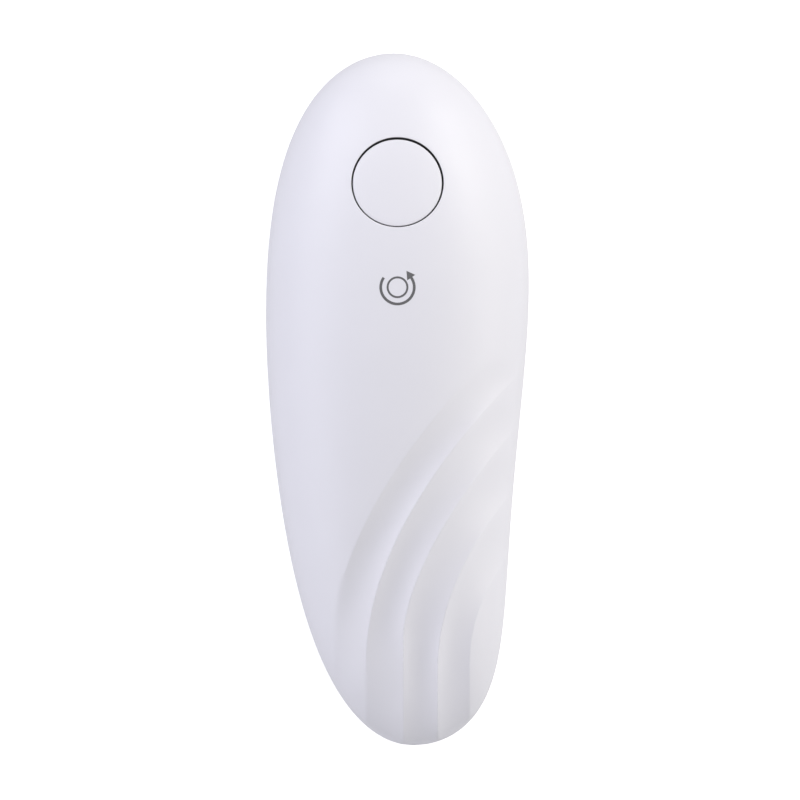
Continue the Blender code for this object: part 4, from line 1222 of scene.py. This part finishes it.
def area_light(name, at, size, power, colour):
    data = bpy.data.lights.new(name, "AREA")
    data.shape = "RECTANGLE"
    data.size, data.size_y = size
    data.energy = power
    data.color = colour
    light = linked(name, data)
    light.location = at
    light.rotation_euler = (LIGHTS_AIM - Vector(at)).to_track_quat("-Z", "Y").to_euler()
    light.visible_camera = False


def make_stage():
    """A white table that lights nothing itself but shows white round the opener."""
    floor = bpy.data.meshes.new("table")
    around = ((-1, -1), (1, -1), (1, 1), (-1, 1))
    corners = [(x * TABLE_HALF, y * TABLE_HALF, TABLE_Z) for x, y in around]
    floor.from_pydata(corners, [], [(0, 1, 2, 3)])
    table = linked("table", floor)
    _, shader, _ = new_material("white_table")
    for socket, value in (
        ("Base Color", (0.85, 0.85, 0.86, 1)),
        ("Roughness", 0.8),
        ("Emission Color", (1, 1, 1, 1)),
        ("Emission Strength", 0.42),
    ):
        shader.inputs[socket].default_value = value
    floor.materials.append(FINISH["white_table"])
    table.visible_diffuse = False
    table.visible_glossy = False
    table.visible_shadow = False


def make_lights():
    """Softboxes on both sides and at the nose, the strongest off the right of the nose."""
    wide, tall, square, narrow = (1.2, 0.5), (1.2, 0.6), (0.8, 0.6), (0.3, 0.2)
    cool, warm, plain = (0.924, 0.929, 1.0), (1.0, 0.985, 0.93), (1.0, 1.0, 1.0)
    for name, at, size, power, colour in (
        ("right_low_softbox", (1.0, 0.0, 0.25), wide, 2.85, warm),
        ("right_softbox", (0.9, 0.0, 0.6), tall, 1.9, warm),
        ("left_low_softbox", (-1.0, 0.0, 0.25), wide, 1.85, cool),
        ("left_softbox", (-0.9, 0.0, 0.6), tall, 2.45, cool),
        ("nose_right_softbox", (0.7, 0.7, 0.6), square, 5.75, warm),
        ("nose_left_softbox", (-0.7, 0.7, 0.6), square, 3.85, cool),
        ("tail_left_softbox", (-0.7, -0.7, 0.6), square, 2.05, cool),
        ("nose_strip", (0.0, 1.4, 0.15), (0.3, 0.15), 1.35, plain),
        ("nose_right_strip", (1.0, 1.0, 0.2), narrow, 0.95, warm),
        ("nose_left_strip", (-1.0, 1.0, 0.2), narrow, 1.1, cool),
    ):
        area_light(name, at, size, power, colour)
    world = bpy.data.worlds.new("studio")
    world.use_nodes = True
    tree = world.node_tree
    new, link = tree.nodes.new, tree.links.new
    background = tree.nodes["Background"]
    background.inputs["Color"].default_value = (1, 1, 1, 1)
    split = new("ShaderNodeSeparateXYZ")
    link(new("ShaderNodeTexCoord").outputs["Generated"], split.inputs["Vector"])
    below = spread(tree, split.outputs["X"], WORLD_BELOW_LEFT, WORLD_BELOW_RIGHT, -1, 1)
    strength = spread(tree, split.outputs["Z"], 0, WORLD_ABOVE, -0.1, 0.1)
    link(below, strength.node.inputs["To Min"])
    link(strength, background.inputs["Strength"])
    bpy.context.scene.world = world


def make_camera():
    data = bpy.data.cameras.new("camera")
    data.sensor_width = 36
    data.lens = CAMERA_LENS
    camera = linked("camera", data)
    camera.location = CAMERA_AT
    bpy.context.scene.camera = camera


make_camera()
make_stage()
make_lights()
bpy.context.scene.view_settings.view_transform = "Standard"

finish_cad_nodes()
housing, button = make_upper_housing(), make_button()
base, door = make_lower_housing(), make_battery_door()
wheel, nut, shaft, bush = make_drive()
carrier, cutter = make_carrier()
cutter_screw = make_screw("cutter_screw_finished", CUTTER_XY, 2.2, 4.1, 11.4, 1.3, 4.4)
plate = make_head_plate()
for i, at in enumerate(HEAD_SCREWS, 1):
    screw = make_screw(f"head_screw_{i}_finished", at, 8.9, 10.3, 16.0, 1.15, 2.6)
    finish_piece(screw, "housing", "zinc", "steel", f"head_screw_{i}")
for i, (x, y, floor) in enumerate(HOUSING_SCREWS, 1):
    name, z = f"housing_screw_{i}", floor + 2.2
    screw = make_screw(name + "_finished", (x, y), z, z + 2, 34.5, 1.4, 2.9)
    finish_piece(screw, "housing", "zinc", "steel", name)
arm, magnet, pin = make_magnet_arm()
for piece, body, finish, slot, replaced in (
    (housing, "housing", "white_plastic", "white_plastic", "upper_housing"),
    (button, "button", "white_plastic", "white_plastic", "start_button"),
    (base, "housing", "white_plastic", "white_plastic", "lower_housing"),
    (door, "door", "white_plastic", "white_plastic", "battery_door"),
    (wheel, "drive", "drive_steel", "steel", "drive_wheel"),
    (nut, "drive", "zinc", "steel", "drive_wheel_nut"),
    (shaft, "drive", "drive_steel", "steel", "drive_shaft"),
    (bush, "housing", "brass", "brass", "drive_bush"),
    (carrier, "carrier", "grey_plastic", "grey_plastic", "cutter_carrier"),
    (cutter, "cutter", "cutter_steel", "steel", "cutter_wheel"),
    (cutter_screw, "carrier", "zinc", "steel", "cutter_screw"),
    (plate, "housing", "sheet_steel", "steel", "head_plate"),
    (arm, "magnet_holder", "grey_plastic", "grey_plastic", "magnet_arm"),
    (magnet, "magnet_holder", "magnet", "magnet", "magnet"),
    (pin, "housing", "steel", "steel", "magnet_pin"),
):
    finish_piece(piece, body, finish, slot, replaced)
# painted shade on the deep walls of the button's gap, on the housing's hole wall and on the
# button's skirt
paint_gap_shade(housing, HOLE_RADIUS + 0.06, (-6.0, -0.7))
paint_gap_shade(button, 14.0, (-8.0, -1.9))
for name, piece in make_contacts().items():
    if name.startswith("cell"):
        finish_piece(piece, "housing", "cell_wrap", "cell_wrap", name)
        finish_cell(piece, 0 if name == "cell_1" else 1)
    else:
        metal_finish = "spring_steel" if name.endswith("spring") else "sheet_steel"
        finish_piece(piece, "housing", metal_finish, "steel", name)
finish_piece(make_print(), "housing", "print", "grey_plastic")
make_button_spring()
